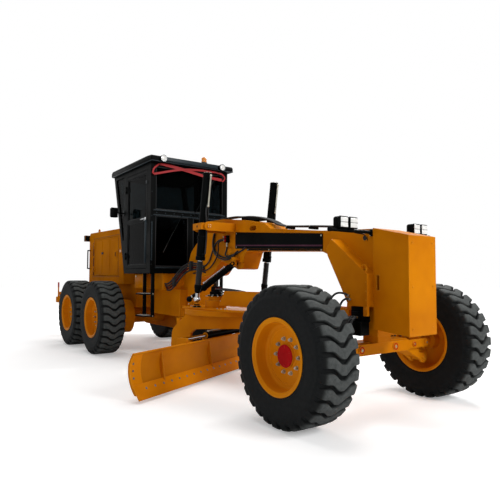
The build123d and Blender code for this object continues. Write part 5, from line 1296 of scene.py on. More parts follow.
@dataclass
class Cab(Assembly):
    """Gaskets, ledges, wipers, roof, lamps, beacon and door trim of the cab."""

    front_x: float = -0.0375
    wall_x: float = -0.0197

    def windows(self) -> None:
        """Rubber round each front and rear pane."""
        blank = Blank()
        turn = end_plane(1, self.front_x)
        blank.surround((-0.66, 2.51), (0.66, 3.23), 0.016, 0.008, turn)
        for low, high in (((0.045, 1.56), (0.66, 2.41)), ((-0.66, 1.56), (-0.045, 2.41))):
            blank.surround(low, high, 0.016, 0.008, turn)
        blank.cast("window_gaskets", GASKET)

    def ledges(self) -> None:
        """Slate ledges over and under the cross bar of the front wall."""
        wall = self.wall_x
        blank = Blank()
        for z in (2.418, 2.498):
            blank.slab((wall, -0.7, z - 0.008), (wall + 0.012, 0.7, z + 0.008), 0.003)
        blank.slab((wall, -0.66, 1.535), (wall + 0.01, 0.66, 1.552), 0.003)
        blank.cast("cab_ledges", SMOKE)
        rivets = Blank()
        for k in range(9):
            y = -0.64 + 0.16 * k
            rivets.bolt((wall, y, 2.458), FORWARD, 0.007, 0.005)
        for y in (-0.73, 0.73):
            for z in (1.6, 2.0, 2.4, 2.8, 3.18):
                rivets.bolt((wall, y, z), FORWARD, 0.006, 0.005)
        rivets.cast("cab_rivets", SMOKE)

    def wipers(self) -> None:
        """One wiper on the upper pane and one on each lower pane."""
        wall = self.wall_x
        arms, blades = blanks(2)
        sets = [((0.05, 2.462), (0.4, 3.02)), ((0.18, 2.44), (0.44, 1.94)), ((-0.18, 2.44), (-0.44, 1.94))]
        for pivot, tip in sets:
            start, stop = Vector(pivot), Vector(tip)
            way = (stop - start).normalized()
            arms.bar((wall, *pivot), (wall + 0.022, *pivot), 0.016, 20, 0.002)
            arms.bar((wall + 0.016, *start), (-0.02, *stop), 0.0055, 10)
            low, high = stop - way * 0.24, stop + way * 0.16
            blades.bar((-0.0268, *low), (-0.0268, *high), 0.0062, 8)
            arms.slab((-0.03, stop.x - 0.012, stop.y - 0.012), (-0.014, stop.x + 0.012, stop.y + 0.012), 0.003)
        arms.cast("wiper_arms", BLACK)
        blades.cast("wiper_blades", GASKET)

    def roof(self) -> None:
        """Roof shell with raised panel, brow, drip rail and bolts."""
        shell, rail, bolts = blanks(3)
        side = [
            (-1.72, 3.2865), (0.1, 3.2865), (0.1, 3.36), (0.07, 3.39), (-0.1, 3.4), (-1.66, 3.4), (-1.72, 3.37),
        ]
        shell.plate(side, 1.6, side_plane(1, -0.8), 0.02)
        shell.slab((-1.6, -0.66, 3.37), (-0.26, 0.66, 3.4403), 0.022, steps=4)
        for y in (-0.42, -0.14, 0.14, 0.42):
            shell.slab((-1.5, y - 0.03, 3.42), (-0.36, y + 0.03, 3.4475), 0.008)
        rail.slab((-1.7, -0.798, 3.2868), (0.1, 0.798, 3.302), 0.005)
        for x in (-1.55, -1.1, -0.62, -0.15):
            for y in (-0.72, 0.72):
                bolts.bolt((x, y, 3.4), UP, 0.011, 0.008)
        made = shell.cast("roof_shell", BLACK)
        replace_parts(made, "cab_roof")
        rail.cast("drip_rail", SMOKE)
        bolts.cast("roof_bolts", SMOKE)
        visor = Blank()
        visor.slab((0.096, -0.53, 3.304), (0.124, 0.46, 3.372), 0.01, steps=3)
        visor.cast("roof_visor", SMOKE)

    def roof_lamps(self) -> None:
        """Two round lamps in the brow and the amber beacon."""
        cases, lenses, rims = blanks(3)
        case = [(0, 0), (0.044, 0), (0.058, 0.02), (0.058, 0.052), (0.05, 0.052), (0.05, 0.042), (0, 0.042)]
        lens = [(0, 0.038), (0.049, 0.038), (0.049, 0.046), (0.036, 0.05), (0.018, 0.0525), (0, 0.053)]
        rim = [(0.049, 0.044), (0.056, 0.044), (0.056, 0.054), (0.049, 0.054)]
        for y in (-0.6, 0.54):
            for blank, section in ((cases, case), (lenses, lens), (rims, rim)):
                blank.turned(section, (0.098, y, 3.34), FORWARD, 40)
        cases.cast("roof_lamp_cases", BLACK)
        lenses.cast("roof_lamp_lenses", LAMP_GLASS)
        rims.cast("roof_lamp_rims", CHROME)
        foot, dome = blanks(2)
        seat = (-0.045, 0.27, 3.396)
        foot.turned([(0, 0), (0.06, 0), (0.06, 0.02), (0.05, 0.03), (0, 0.03)], seat, UP, 36)
        glass = [(0, 0.03), (0.048, 0.03), (0.048, 0.092), (0.041, 0.11), (0.026, 0.12), (0, 0.1215)]
        dome.turned(glass, seat, UP, 36)
        foot.cast("beacon_foot", PLASTIC)
        dome.cast("beacon_dome", AMBER)

    def doors(self) -> None:
        """Gaskets, handle and kick panel of each door."""
        for side in Side:
            body = f"door_{side}"
            rubber, handle, marks = blanks(3)
            turn = side_plane(side, 0.7325)
            for z_low, z_high in ((1.596, 2.33), (2.39, 3.124)):
                rubber.surround((-0.994, z_low), (-0.206, z_high), 0.014, 0.008, turn)
            base = side_plane(side, 0.7605)
            handle.slab((-0.25, 2.335, 0), (-0.17, 2.385, 0.008), 0.003, base)
            handle.bar(base @ Vector((-0.235, 2.36, 0.006)), base @ Vector((-0.235, 2.36, 0.03)), 0.008)
            handle.slab((-0.34, 2.35, 0.022), (-0.222, 2.37, 0.031), 0.004, base)
            for z in (1.7, 2.95):
                marks.slab((-0.19, z, 0), (-0.15, z + 0.05, 0.006), 0.002, base)
            rubber.cast(f"door_gaskets_{side}", GASKET, body)
            handle.cast(f"door_handle_{side}", CHROME, body)
            marks.cast(f"door_strikers_{side}", SMOKE, body)

    def rails(self) -> None:
        """Grab strip along each front pillar, and slate sleeves on the hand rails as their painted highlight."""
        wall = self.wall_x
        strips = Blank()
        for side in Side:
            # Slate sleeve round the black hand rail: a painted highlight of the rail.
            strips.bar((-0.08, side * 0.81, 1.62), (-0.08, side * 0.81, 2.33), 0.0158, 20, 0.003)
            y = side * 0.735
            strips.bar((wall + 0.022, y, 1.66), (wall + 0.022, y, 2.3), 0.01)
            for z in (1.68, 2.28):
                strips.bar((wall, y, z), (wall + 0.022, y, z), 0.008)
        strips.cast("pillar_grabs", SMOKE)

    groups = (windows, ledges, wipers, roof, roof_lamps, doors, rails)


@dataclass
class Ribbon:
    """Flat satin ribbon tied across the cab's front, laid out along a line of points."""

    name: str
    line: list[Point]
    width: float = 0.045
    held: str = "stretched"
    rests_on: tuple[str, ...] = ("cab_frame",)

    def spine(self, count: int = 60) -> list[Vector]:
        """Even points along a smooth line through the ribbon's points."""
        knots = [Vector(p) for p in self.line]
        ends = [knots[0] * 2 - knots[1]] + knots + [knots[-1] * 2 - knots[-2]]
        dense = []
        for a, b, c, d in zip(ends, ends[1:], ends[2:], ends[3:]):
            for k in range(24):
                t = k / 24
                bend = (2 * a - 5 * b + 4 * c - d) * t * t + (3 * b - a - 3 * c + d) * t**3
                dense.append(0.5 * (2 * b + (c - a) * t + bend))
        dense.append(knots[-1])
        step = max(1, len(dense) // count)
        return dense[::step] + ([] if (len(dense) - 1) % step == 0 else [dense[-1]])

    def build(self) -> None:
        spine = self.spine()
        part = bmesh.new()
        across = []
        for k, spot in enumerate(spine):
            way = (spine[min(k + 1, len(spine) - 1)] - spine[max(k - 1, 0)]).normalized()
            across.append(way.cross(Vector(FORWARD)).normalized() * self.width / 2)
        edge = [part.edges.new([part.verts.new(spine[0] - across[0]), part.verts.new(spine[0] + across[0])])]
        for k in range(1, len(spine)):
            grown = bmesh.ops.extrude_edge_only(part, edges=edge)["geom"]
            fresh = fresh_verts(grown)
            for v in fresh:
                sign = 1 if (v.co - spine[k - 1]).dot(across[k - 1]) > 0 else -1
                v.co = spine[k] + across[k] * sign
            edge = [g for g in grown if isinstance(g, bmesh.types.BMEdge) and set(g.verts) == set(fresh)]
        blank = Blank()
        blank.take(part)
        made = blank.cast(self.name, RIBBON, angle=60.0)


def tie_ribbons() -> None:
    """Two crossed ribbons under the roof, with a loop at each end."""
    x = 0.012
    low = [(x, -0.6, 3.275), (x + 0.01, -0.15, 3.222), (x + 0.012, 0.26, 3.16), (x, 0.61, 3.14)]
    high = [
        (x + 0.014, -0.72, 3.085), (x + 0.022, -0.24, 3.212), (x + 0.022, 0.12, 3.252), (x + 0.012, 0.45, 3.262),
    ]
    right = [
        (x + 0.014, -0.72, 3.085), (x + 0.03, -0.745, 3.11), (x + 0.03, -0.72, 3.18), (x + 0.01, -0.62, 3.268),
    ]
    left = [(x + 0.012, 0.45, 3.262), (x + 0.03, 0.6, 3.235), (x + 0.03, 0.655, 3.17), (x + 0.01, 0.62, 3.11)]
    Ribbon("ribbon_low", low, 0.05).build()
    Ribbon("ribbon_high", high, 0.034).build()
    Ribbon("ribbon_loop_right", right, 0.026, "hung", ("cab_frame", "ribbon_high")).build()
    Ribbon("ribbon_loop_left", left, 0.026, "hung", ("cab_frame", "ribbon_low")).build()


@dataclass
class Interior(Assembly):
    """Seat, steering stand, levers and side consoles inside the cab."""

    seat_x: float = -0.794
    floor_z: float = 1.51
    stand_x: float = -0.23

    @staticmethod
    def cushion(
        low: Point, high: Point, puff: float, seams: tuple[float, ...], lean: Matrix | None = None
    ) -> bmesh.types.BMesh:
        """Stuffed block with rounded sides and stitched seams.

        Args:
            low: lower corner.
            high: upper corner.
            puff: exponent of its roundness, higher for a squarer block.
            seams: places of the seams across it, from -1 to 1.
            lean: turn of the whole block.

        Returns:
            The block's mesh.
        """
        part = bmesh.new()
        bmesh.ops.create_cube(part, size=2.0)
        bmesh.ops.subdivide_edges(part, edges=part.edges[:], cuts=15, use_grid_fill=True)
        low, high = Vector(low), Vector(high)
        for v in part.verts:
            total = sum(abs(c) ** puff for c in v.co) ** (1 / puff)
            spot = v.co / total
            for seam in seams:
                spot *= 1 - 0.05 * math.exp(-(((v.co.y - seam) / 0.05) ** 2))
            v.co = Vector([(a + b) / 2 + s * (b - a) / 2 for a, b, s in zip(low, high, spot)])
        if lean is not None:
            bmesh.ops.transform(part, matrix=lean, verts=part.verts)
        return part

    def seat(self) -> None:
        """Suspension seat with two padded cushions and armrests."""
        x, z = self.seat_x, self.floor_z
        stand, pads, arms = blanks(3)
        stand.slab((x - 0.15, -0.15, z), (x + 0.15, 0.15, z + 0.06), 0.012)
        for k in range(5):
            half, foot = 0.13 + 0.01 * (k % 2), z + 0.06 + 0.034 * k
            stand.slab((x - half, -half, foot), (x + half, half, foot + 0.034), 0.01)
        stand.slab((x - 0.22, -0.23, z + 0.232), (x + 0.22, 0.23, z + 0.268), 0.012)
        seams = (-0.55, 0, 0.55)
        pads.take(self.cushion((x - 0.235, -0.249, z + 0.262), (x + 0.2435, 0.249, z + 0.4), 7.0, seams))
        lean = Matrix.Translation((x - 0.12, 0, z + 0.36)) @ Matrix.Rotation(-0.155, 4, "Y")
        pads.take(self.cushion((-0.125, -0.235, 0), (-0.005, 0.235, 0.5), 6.0, seams, lean))
        pads.take(self.cushion((-0.12, -0.14, 0.5), (-0.02, 0.14, 0.655), 5.0, (), lean))
        for side in Side:
            arms.slab((x - 0.14, side * 0.185, z + 0.56), (x + 0.16, side * 0.248, z + 0.6), 0.014, steps=3)
            arms.slab((x - 0.15, side * 0.197, z + 0.38), (x - 0.1, side * 0.236, z + 0.57), 0.008)
        base = stand.cast("seat_base", PLASTIC)
        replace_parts(base, "seat")
        pads.cast("seat_cushions", SEAT_CLOTH, angle=60.0)
        arms.cast("seat_arms", GREY_PLASTIC)

    def stand(self) -> None:
        """Steering column with boot, pods, levers, wheel and gauges."""
        x, z = self.stand_x, self.floor_z
        column, levers, knobs, wheel = blanks(4)
        column.slab((x - 0.11, -0.09, z), (x + 0.07, 0.09, z + 0.06), 0.012)
        foot, head = Vector((x, 0, z + 0.05)), Vector((x - 0.108, 0, z + 0.77))
        axis = head - foot
        boot = [(0, 0), (0.062, 0)]
        for k in range(8):
            boot += [(0.062, 0.02 + 0.03 * k), (0.052, 0.035 + 0.03 * k)]
        boot += [(0.046, 0.29), (0.042, 0.5), (0.05, 0.7), (0, 0.72)]
        column.turned(boot, foot, axis, 32)
        column.slab((x - 0.145, -0.206, z + 0.632), (x - 0.022, 0.206, z + 0.722), 0.03, steps=4)
        centre = Vector((x - 0.16, 0, z + 0.86))
        column.bar(head - axis.normalized() * 0.03, centre, 0.022)
        for side in Side:
            for k in range(5):
                y = side * (0.07 + 0.031 * k)
                low = Vector((x - 0.075, y, z + 0.715))
                top = Vector((x - 0.105, y, z + 0.8 + 0.012 * (k % 2)))
                levers.bar(low, top, 0.004, 10)
                knobs.ball(top, 0.011, (1, 1, 1.3))
                column.bar(low - Vector((0, 0, 0.004)), low + Vector((0, 0, 0.012)), 0.0125, 16, tip=0.006)
        tilt = Vector((-0.35, 0, 1)).normalized()
        rim = [(0.184 + u, v) for u, v in ring_of(12, 0.0145)]
        wheel.turned(rim, centre, tilt, 56)
        wheel.turned([(0, -0.02), (0.045, -0.02), (0.05, 0), (0.04, 0.014), (0, 0.018)], centre, tilt, 36)
        place = Matrix.Translation(centre) @ tilt.to_track_quat("Z", "Y").to_matrix().to_4x4()
        for turn in (90, 210, 330):
            spoke = place @ Matrix.Rotation(math.radians(turn), 4, "Z")
            wheel.slab((0.03, -0.012, -0.007), (0.178, 0.012, 0.005), 0.004, spoke)
        made = column.cast("steering_stand", GREY_PLASTIC)
        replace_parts(made, "controls")
        levers.cast("control_levers", CHROME)
        knobs.cast("lever_knobs", PALE_PLASTIC)
        wheel.cast("steering_wheel", PLASTIC)

    def consoles(self) -> None:
        """Side consoles, dash, gauges and pedals."""
        boxes, dials, faces, pads = blanks(4)
        z = self.floor_z
        for side in Side:
            boxes.slab((-1.05, side * 0.33, z + 0.01), (-0.6, side * 0.6, z + 0.42), 0.04, steps=4)
            boxes.slab((-1.03, side * 0.36, z + 0.42), (-0.7, side * 0.57, z + 0.5), 0.03, steps=3)
            for k in range(4):
                x = -0.98 + 0.07 * k
                dials.bar((x, side * 0.46, z + 0.5), (x, side * 0.46, z + 0.512), 0.016, 20, 0.002)
        boxes.slab((-0.1, 0.34, z + 0.55), (-0.055, 0.62, z + 0.86), 0.012, steps=3)
        for k in range(3):
            gauge = (0.4 + 0.08 * k, z + 0.77)
            dials.bar((-0.1, *gauge), (-0.108, *gauge), 0.032, 28, 0.002)
            faces.bar((-0.108, *gauge), (-0.1095, *gauge), 0.027, 28)
        for y in (-0.24, -0.12, 0.2):
            pads.slab((-0.16, y - 0.04, z + 0.1), (-0.14, y + 0.04, z + 0.22), 0.008)
            pads.bar((-0.15, y, z + 0.16), (-0.09, y, z + 0.02), 0.008)
        boxes.slab((-1.055, -0.34, z + 0.01), (-1.0, 0.34, z + 0.4), 0.02, steps=3)
        boxes.cast("side_consoles", GREY_PLASTIC)
        dials.cast("console_switches", PLASTIC)
        faces.cast("gauge_faces", PALE_PLASTIC)
        pads.cast("pedals", PLASTIC)

    groups = (seat, stand, consoles)


@dataclass
class UnderCab:
    """Box, brace and hoses below the cab's right side, and its mirror on the left."""

    def build(self) -> None:
        """Make the boxes, braces, lids and hose bundles."""
        boxes, braces, latches = blanks(3)
        for side in reversed(Side):
            boxes.slab((-0.95, side * 0.5005, 1.19), (-0.44, side * 0.62, 1.447), 0.012, steps=3)
            boxes.slab((-0.93, side * 0.62, 1.21), (-0.46, side * 0.626, 1.43), 0.004)
            for x in (-0.86, -0.53):
                latches.slab((x - 0.02, side * 0.624, 1.385), (x + 0.02, side * 0.636, 1.415), 0.003)
            turn = side_plane(side, 0.5005)
            braces.plate([(-1.095, 1.2), (-0.97, 1.2), (-0.97, 1.41), (-1.0, 1.44)], 0.05, turn, 0.004)
            bundle = [
                (-0.06, 0.46, 1.28), (0.03, 0.46, 1.26), (0.14, 0.42, 1.34), (0.24, 0.37, 1.48), (0.38, 0.31, 1.6),
                (0.56, 0.22, 1.62), (0.72, 0.172, 1.56),
            ]
            for k, finish in enumerate((HOSE, HOSE, MAROON, HOSE)):
                run = [(x + 0.012 * k, side * (y - 0.008 * k), z - 0.034 * k) for x, y, z in bundle]
                Pipe(f"cab_hose_{side}_{k + 1}", run, 0.014, finish=finish).build()
            ties = Blank()
            for x, y, z in ((0.16, 0.405, 1.31), (0.46, 0.26, 1.57)):
                ties.slab((x - 0.012, side * y - 0.03, z - 0.075), (x + 0.045, side * y + 0.03, z + 0.075), 0.01)
            ties.cast(f"hose_ties_{side}", PLASTIC)
        boxes.cast("step_boxes", YELLOW)
        braces.cast("cab_braces", YELLOW)
        latches.cast("box_latches", ZINC)


@dataclass
class Steps:
    """Ladder of two grip treads under each side of the cab."""

    rear: float = -0.4
    front: float = -0.08
    treads: Flat = (0.75, 1.11)

    def build(self) -> None:
        """Make hangers, treads with grip teeth and their bolts."""
        ladder, teeth, bolts = blanks(3)
        rear, front = self.rear, self.front
        for side in Side:
            for x, way in ((rear, -1), (front, 1)):
                ladder.slab((x - 0.012, side * 0.64, 0.73), (x + 0.012, side * 0.7, 1.4497), 0.004)
                for z in self.treads:
                    bolts.bolt((x + way * 0.012, side * 0.67, z), (way, 0, 0), 0.009, 0.006)
            for z in self.treads:
                ladder.slab((rear, side * 0.64, z - 0.012), (front, side * 0.83, z + 0.006), 0.004)
                for y in (0.648, 0.822):
                    inner, outer = side * (y - 0.006), side * (y + 0.006)
                    ladder.slab((rear, inner, z - 0.015), (front, outer, z + 0.01), 0.003)
                for k in range(11):
                    for m in range(4):
                        x, y = rear + 0.028 + 0.0265 * k, side * (0.672 + 0.042 * m)
                        teeth.bar((x, y, z + 0.006), (x, y, z + 0.0145), 0.008, 10, tip=0.005)
        made = ladder.cast("step_ladders", BLACK)
        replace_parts(made, "steps")
        teeth.cast("tread_teeth", STEEL)
        bolts.cast("step_bolts", ZINC)


@dataclass
class HoodTrim(Assembly):
    """Seams, latches, lamps, rails, stack bands and rear grille of the engine hood."""

    body: str = "rear_chassis"
    sheet_y: float = 0.5803
    rail_x: float = -3.58
    stack: Flat = (-2.4, 0.25)
    intake: Flat = (-2.4, -0.11)

    def seams(self) -> None:
        """Dark seams and panel edges of the hood's sides."""
        seams, bolts = blanks(2)
        for side in Side:
            turn = side_plane(side, self.sheet_y)
            for x in (-1.86, -3.3):
                seams.slab((x - 0.003, 1.4, 0), (x + 0.003, 2.22, 0.0015), 0, turn)
            for z in (1.395, 2.225):
                seams.slab((-3.4, z - 0.003, 0), (-1.8, z + 0.003, 0.0015), 0, turn)
            for x in (-1.82, -2.2, -2.6, -3.0, -3.38):
                for z in (1.33, 2.27):
                    bolts.bolt((x, side * self.sheet_y, z), side.out, 0.008, 0.005)
        seams.cast("hood_seams", GASKET, self.body)
        bolts.cast("hood_bolts", SHADED_REAR_PAINT, self.body)

    def doors(self) -> None:
        """Rims, ribs, vent, latch and lift handle of each engine door."""
        for side in Side:
            body = f"engine_door_{side}"
            rim, latch, dark = blanks(3)
            turn = side_plane(side, self.sheet_y)
            rim.surround((-3.25, 1.432), (-1.892, 2.188), 0.012, 0.005, turn)
            for x in (-2.8, -2.35):
                rim.slab((x - 0.012, 1.47, 0), (x + 0.012, 2.15, 0.006), 0.004, turn)
            dark.slab((-2.815, 1.865, 0.006), (-2.705, 1.91, 0.012), 0.003, turn)
            place = side_plane(side, 0.5963)
            latch.slab((-2.005, 1.8, 0), (-1.975, 1.88, 0.006), 0.003, place)
            latch.bar(place @ Vector((-1.99, 1.86, 0)), place @ Vector((-1.99, 1.86, 0.0076)), 0.011)
            rim.cast(f"engine_door_rims_{side}", SHADED_REAR_PAINT, body)
            dark.cast(f"door_vents_{side}", GASKET, body)
            latch.cast(f"engine_latch_{side}", BLACK, body)

    def rails(self) -> None:
        """Black grab rails at the rear corners and a lifting eye on the top."""
        rails, eyes, bolts = blanks(3)
        ring = [(0.03, -0.009), (0.048, -0.009), (0.048, 0.009), (0.03, 0.009)]
        for side in Side:
            x, y = self.rail_x, side * 0.635
            for z in (1.58, 1.98):
                rails.bar((x, side * 0.5805, z), (x, y, z), 0.013)
                rails.ball((x, y, z), 0.0132)
            rails.bar((x, y, 1.58), (x, y, 1.98), 0.013)
            for x in (-1.8, -3.46):
                spot, _ = touch("hood", (x, side * 0.42, 2.8), DOWN)
                eyes.turned(ring, spot + Vector((0, 0, 0.05)), (0, 1, 0), 32)
                eyes.slab(spot + Vector((-0.045, -0.009, -0.006)), spot + Vector((0.045, 0.009, 0.016)), 0.003)
        for y in (-0.45, -0.15, 0.15, 0.45):
            for x in (-1.75, -3.45):
                bolts.stud("hood", (x, y, 2.9), DOWN, 0.009, 0.005)
        rails.cast("hood_rails", BLACK, self.body)
        eyes.cast("hood_eyes", SHADED_REAR_PAINT, self.body)
        bolts.cast("hood_top_bolts", SHADED_REAR_PAINT, self.body)

    def pipes(self) -> None:
        """Heat shield and clamps of the exhaust, rings and cap of the intake bowl."""
        shield, bands, bowl = blanks(3)
        x, y = self.stack
        tube = [(0.0585, 0), (0.076, 0), (0.076, 0.34), (0.0735, 0.343), (0.0735, 0.004), (0.0585, 0.004)]
        shield.turned(tube, (x, y, 2.41), UP, 40)
        # Small black discs on the heat shield stand for its holes: painted shade of the holes' depth.
        for u, v in ring_of(10, 1.0):
            out = Vector((u, v, 0))
            for z in (2.47, 2.58, 2.69):
                middle = Vector((x, y, z))
                bands.bar(middle + out * 0.0752, middle + out * 0.0767, 0.01, 12)
        band = [(0.058, 0), (0.062, 0), (0.062, 0.018), (0.058, 0.018)]
        for z in (2.8, 2.86):
            shield.turned(band, (x, y, z), UP, 36)
        for z in (2.44, 2.475, 2.51, 2.545):
            bowl.turned([(0.108, 0), (0.1145, 0.003), (0.108, 0.006)], (*self.intake, z), UP, 44)
        cap = [(0, 0), (0.112, 0), (0.1, 0.014), (0.06, 0.022), (0, 0.025)]
        bowl.turned(cap, (*self.intake, 2.5552), UP, 44)
        shield.cast("exhaust_shield", IRON, self.body)
        bands.cast("shield_holes", GASKET, self.body)
        bowl.cast("intake_bowl_rings", PLASTIC, self.body)

    def rear(self) -> None:
        """Grille bars, lamps and reflectors on the rear wall."""
        bars, lenses, cores, guard, hoods = blanks(5)
        cores.slab((-3.598, -0.428, 1.422), (-3.594, 0.428, 2.236), 0)
        for k in range(18):
            y = -0.42 + 0.84 * k / 17
            bars.bar((-3.612, y, 1.42), (-3.612, y, 2.23), 0.004, 8)
        guard.surround((-0.45, 1.4), (0.45, 2.26), 0.018, 0.006, end_plane(-1, -3.6303))
        for side in Side:
            lenses.slab((-3.728, side * 0.538, 2.2), (-3.7225, side * 0.6, 2.31), 0.003)
            hoods.slab((-3.7225, side * 0.5285, 2.1885), (-3.629, side * 0.6815, 2.3215), 0.01, steps=3)
        bars.cast("grille_bars", BLACK, self.body)
        cores.cast("radiator_core", GASKET, self.body)
        guard.cast("grille_rim", SHADED_REAR_PAINT, self.body)
        lenses.cast("tail_lenses", TAIL_RED, self.body)
        hoods.cast("tail_lamp_cases", BLACK, self.body)

    def marks(self) -> None:
        """Lamp and maroon filler strips low on the side wall."""
        strips, lamp = blanks(2)
        for side in Side:
            turn = side_plane(side, self.sheet_y)
            strips.slab((-3.345, 1.85, 0), (-3.325, 2.14, 0.01), 0.003, turn)
            strips.slab((-3.345, 1.43, 0), (-3.325, 1.81, 0.01), 0.003, turn)
            lamp.slab((-1.78, 1.86, 0), (-1.7, 1.92, 0.01), 0.006, turn)
        strips.cast("hood_strips", MAROON, self.body)
        lamp.cast("side_markers", AMBER, self.body)

    groups = (seams, doors, rails, pipes, rear, marks)


@dataclass
class BladeGear(Assembly):
    """Bolts, lips and fittings of the blade and its carrier."""

    span: float = 3.9
    plough_bolts: int = 26
    slide_x: float = -0.225
    slide_z: float = 0.565

    @property
    def turn(self) -> Matrix:
        """Matrix from the blade's own frame to the machine's."""
        return Matrix.Translation(CIRCLE_CENTRE) @ Matrix.Rotation(BLADE_TURN, 4, "Z")

    def at(self, spot: Point) -> Vector:
        """Place given in the blade's own frame, in the machine's frame."""
        return self.turn @ Vector(spot)

    def way(self, heading: Point) -> Vector:
        """Direction given in the blade's own frame, in the machine's frame."""
        return self.turn.to_3x3() @ Vector(heading)

    def edge_bolts(self) -> None:
        """Plough bolts along the cutting edge and in the end bits, with nuts behind."""
        heads, nuts = blanks(2)
        for k in range(self.plough_bolts):
            y = self.span * (k / (self.plough_bolts - 1) - 0.5)
            spot, outward = touch("cutting_edge", self.at((0.6, y, 0.135)), self.way(BACK))
            heads.bar(spot - outward * 0.001, spot + outward * 0.0022, 0.0145, 20, 0.001)
            heads.bar(spot + outward * 0.002, spot + outward * 0.003, 0.006, 4)
            nuts.bolt(spot - self.way((0.046, 0, 0)), self.way(BACK), 0.013, 0.014)
        for y in (-2.09, 2.09):
            for z in (0.26, 0.34, 0.42):
                spot, outward = touch("cutting_edge", self.at((0.8, y, z)), self.way(BACK))
                heads.bar(spot - outward * 0.001, spot + outward * 0.0022, 0.0145, 20, 0.001)
        heads.cast("edge_bolts", STEEL, "blade")
        nuts.cast("edge_nuts", ZINC, "blade")

    def lips(self) -> None:
        """Rolled top edge and end ribs of the moldboard."""
        lip, ribs = blanks(2)
        lip.bar(self.at((-0.108, -2.12, 0.527)), self.at((-0.108, 2.12, 0.527)), 0.014, 16, 0.002)
        shape = [
            (-0.122, 0.515), (-0.14, 0.52), (-0.17, 0.44), (-0.19, 0.34), (-0.172, 0.2), (-0.12, 0.13),
            (-0.06, 0.12),
        ]
        for y in (-1.6, -0.55, 0.55, 1.6):
            ribs.plate(shape, 0.016, self.turn @ side_plane(-1, -y - 0.008), 0.003)
        lip.cast("moldboard_lip", YELLOW, "blade")
        ribs.cast("moldboard_ribs", YELLOW, "blade")

    def slide(self) -> None:
        """Sleeve, glands and ports of the side shift cylinder."""
        sleeve, bright = blanks(2)
        x, z = self.slide_x, self.slide_z
        along = self.way((0, 1, 0))
        tube = [(0.0452, 0), (0.0475, 0), (0.0475, 1.34), (0.0452, 1.34)]
        band = [(0.0452, 0), (0.054, 0), (0.054, 0.03), (0.0452, 0.03)]
        for section, y in ((tube, -0.495), (band, -0.497), (band, 0.815)):
            sleeve.turned(section, self.at((x, y, z)), along, 40)
        for y in (-0.43, 0.76):
            bright.bar(self.at((x, y, z + 0.046)), self.at((x, y, z + 0.072)), 0.013, 6, 0.002)
        bright.bar(self.at((x, -0.42, z + 0.062)), self.at((x, 0.75, z + 0.062)), 0.008, 12)
        sleeve.cast("side_shift_sleeve", BLACK, "blade_tilt")
        bright.cast("side_shift_line", ZINC, "blade_tilt")
        nut = Blank()
        hexagon = [(0.0252, 0), (0.036, 0), (0.036, 0.018), (0.0252, 0.022)]
        nut.turned(hexagon, self.at((x, -1.079, z)), along, 6)
        nut.cast("side_shift_nut", ZINC, "blade")

    groups = (edge_bolts, lips, slide)


@dataclass
class DrawbarGear(Assembly):
    """Motor, gearbox bolts, hoses and studs on the drawbar."""

    body: str = "drawbar_frame"
    box: Flat = (1.48, -0.42)

    def motor(self) -> None:
        """Circle drive motor with its cover bolts and fittings."""
        x, y = self.box
        case, bolts, red = blanks(3)
        section = [
            (0, 0), (0.118, 0), (0.118, 0.014), (0.085, 0.022), (0.085, 0.06), (0.066, 0.07), (0.066, 0.13),
            (0.058, 0.14), (0, 0.142),
        ]
        case.turned(section, (x, y, 1.1202), UP, 44)
        for u, v in ring_of(10, 1.0, 0.5):
            bolts.bolt((x + 0.104 * u, y + 0.104 * v, 1.134), UP, 0.009, 0.008)
            bolts.bolt((x + 0.135 * u, y + 0.135 * v, 1.1202), UP, 0.009, 0.008)
        for k, turn in enumerate((-0.55, 0, 0.55)):
            out = Vector((math.cos(turn), math.sin(turn), 0))
            start = Vector((x, y, 1.225)) + out * 0.062
            red.bar(start, start + out * 0.026, 0.014, 6, 0.002)
            bend = start + out * 0.1
            goal = Vector((1.95 + 0.08 * k, -0.3 + 0.05 * k, 1.16))
            middle = (bend + goal) / 2 + Vector((0, 0, 0.01))
            far = Vector((2.5, -0.16 + 0.05 * k, 1.19))
            Pipe(f"drive_hose_{k + 1}", [start + out * 0.02, bend, middle, goal, far], 0.0105, self.body).build()
        case.cast("drive_motor", BLACK, self.body)
        bolts.cast("drive_bolts", ZINC, self.body)
        red.cast("drive_ports", RED, self.body)

    def studs(self) -> None:
        """Bolts of the circle's shoes along both rails and on the cross plates."""
        bolts = Blank()
        spots = [(1.02, 0.5)] + [(x, y) for x in (1.75, 1.85, 1.95) for y in (0.5, 0.56)]
        spots += [(x, -y) for x in (0.95, 1.02, 1.75, 1.85, 1.95) for y in (0.5, 0.56)]
        for x, y in spots:
            bolts.stud("drawbar", (x, y, 2.0), DOWN, 0.011, 0.01)
        bolts.cast("shoe_bolts", ZINC, self.body)

    groups = (motor, studs)


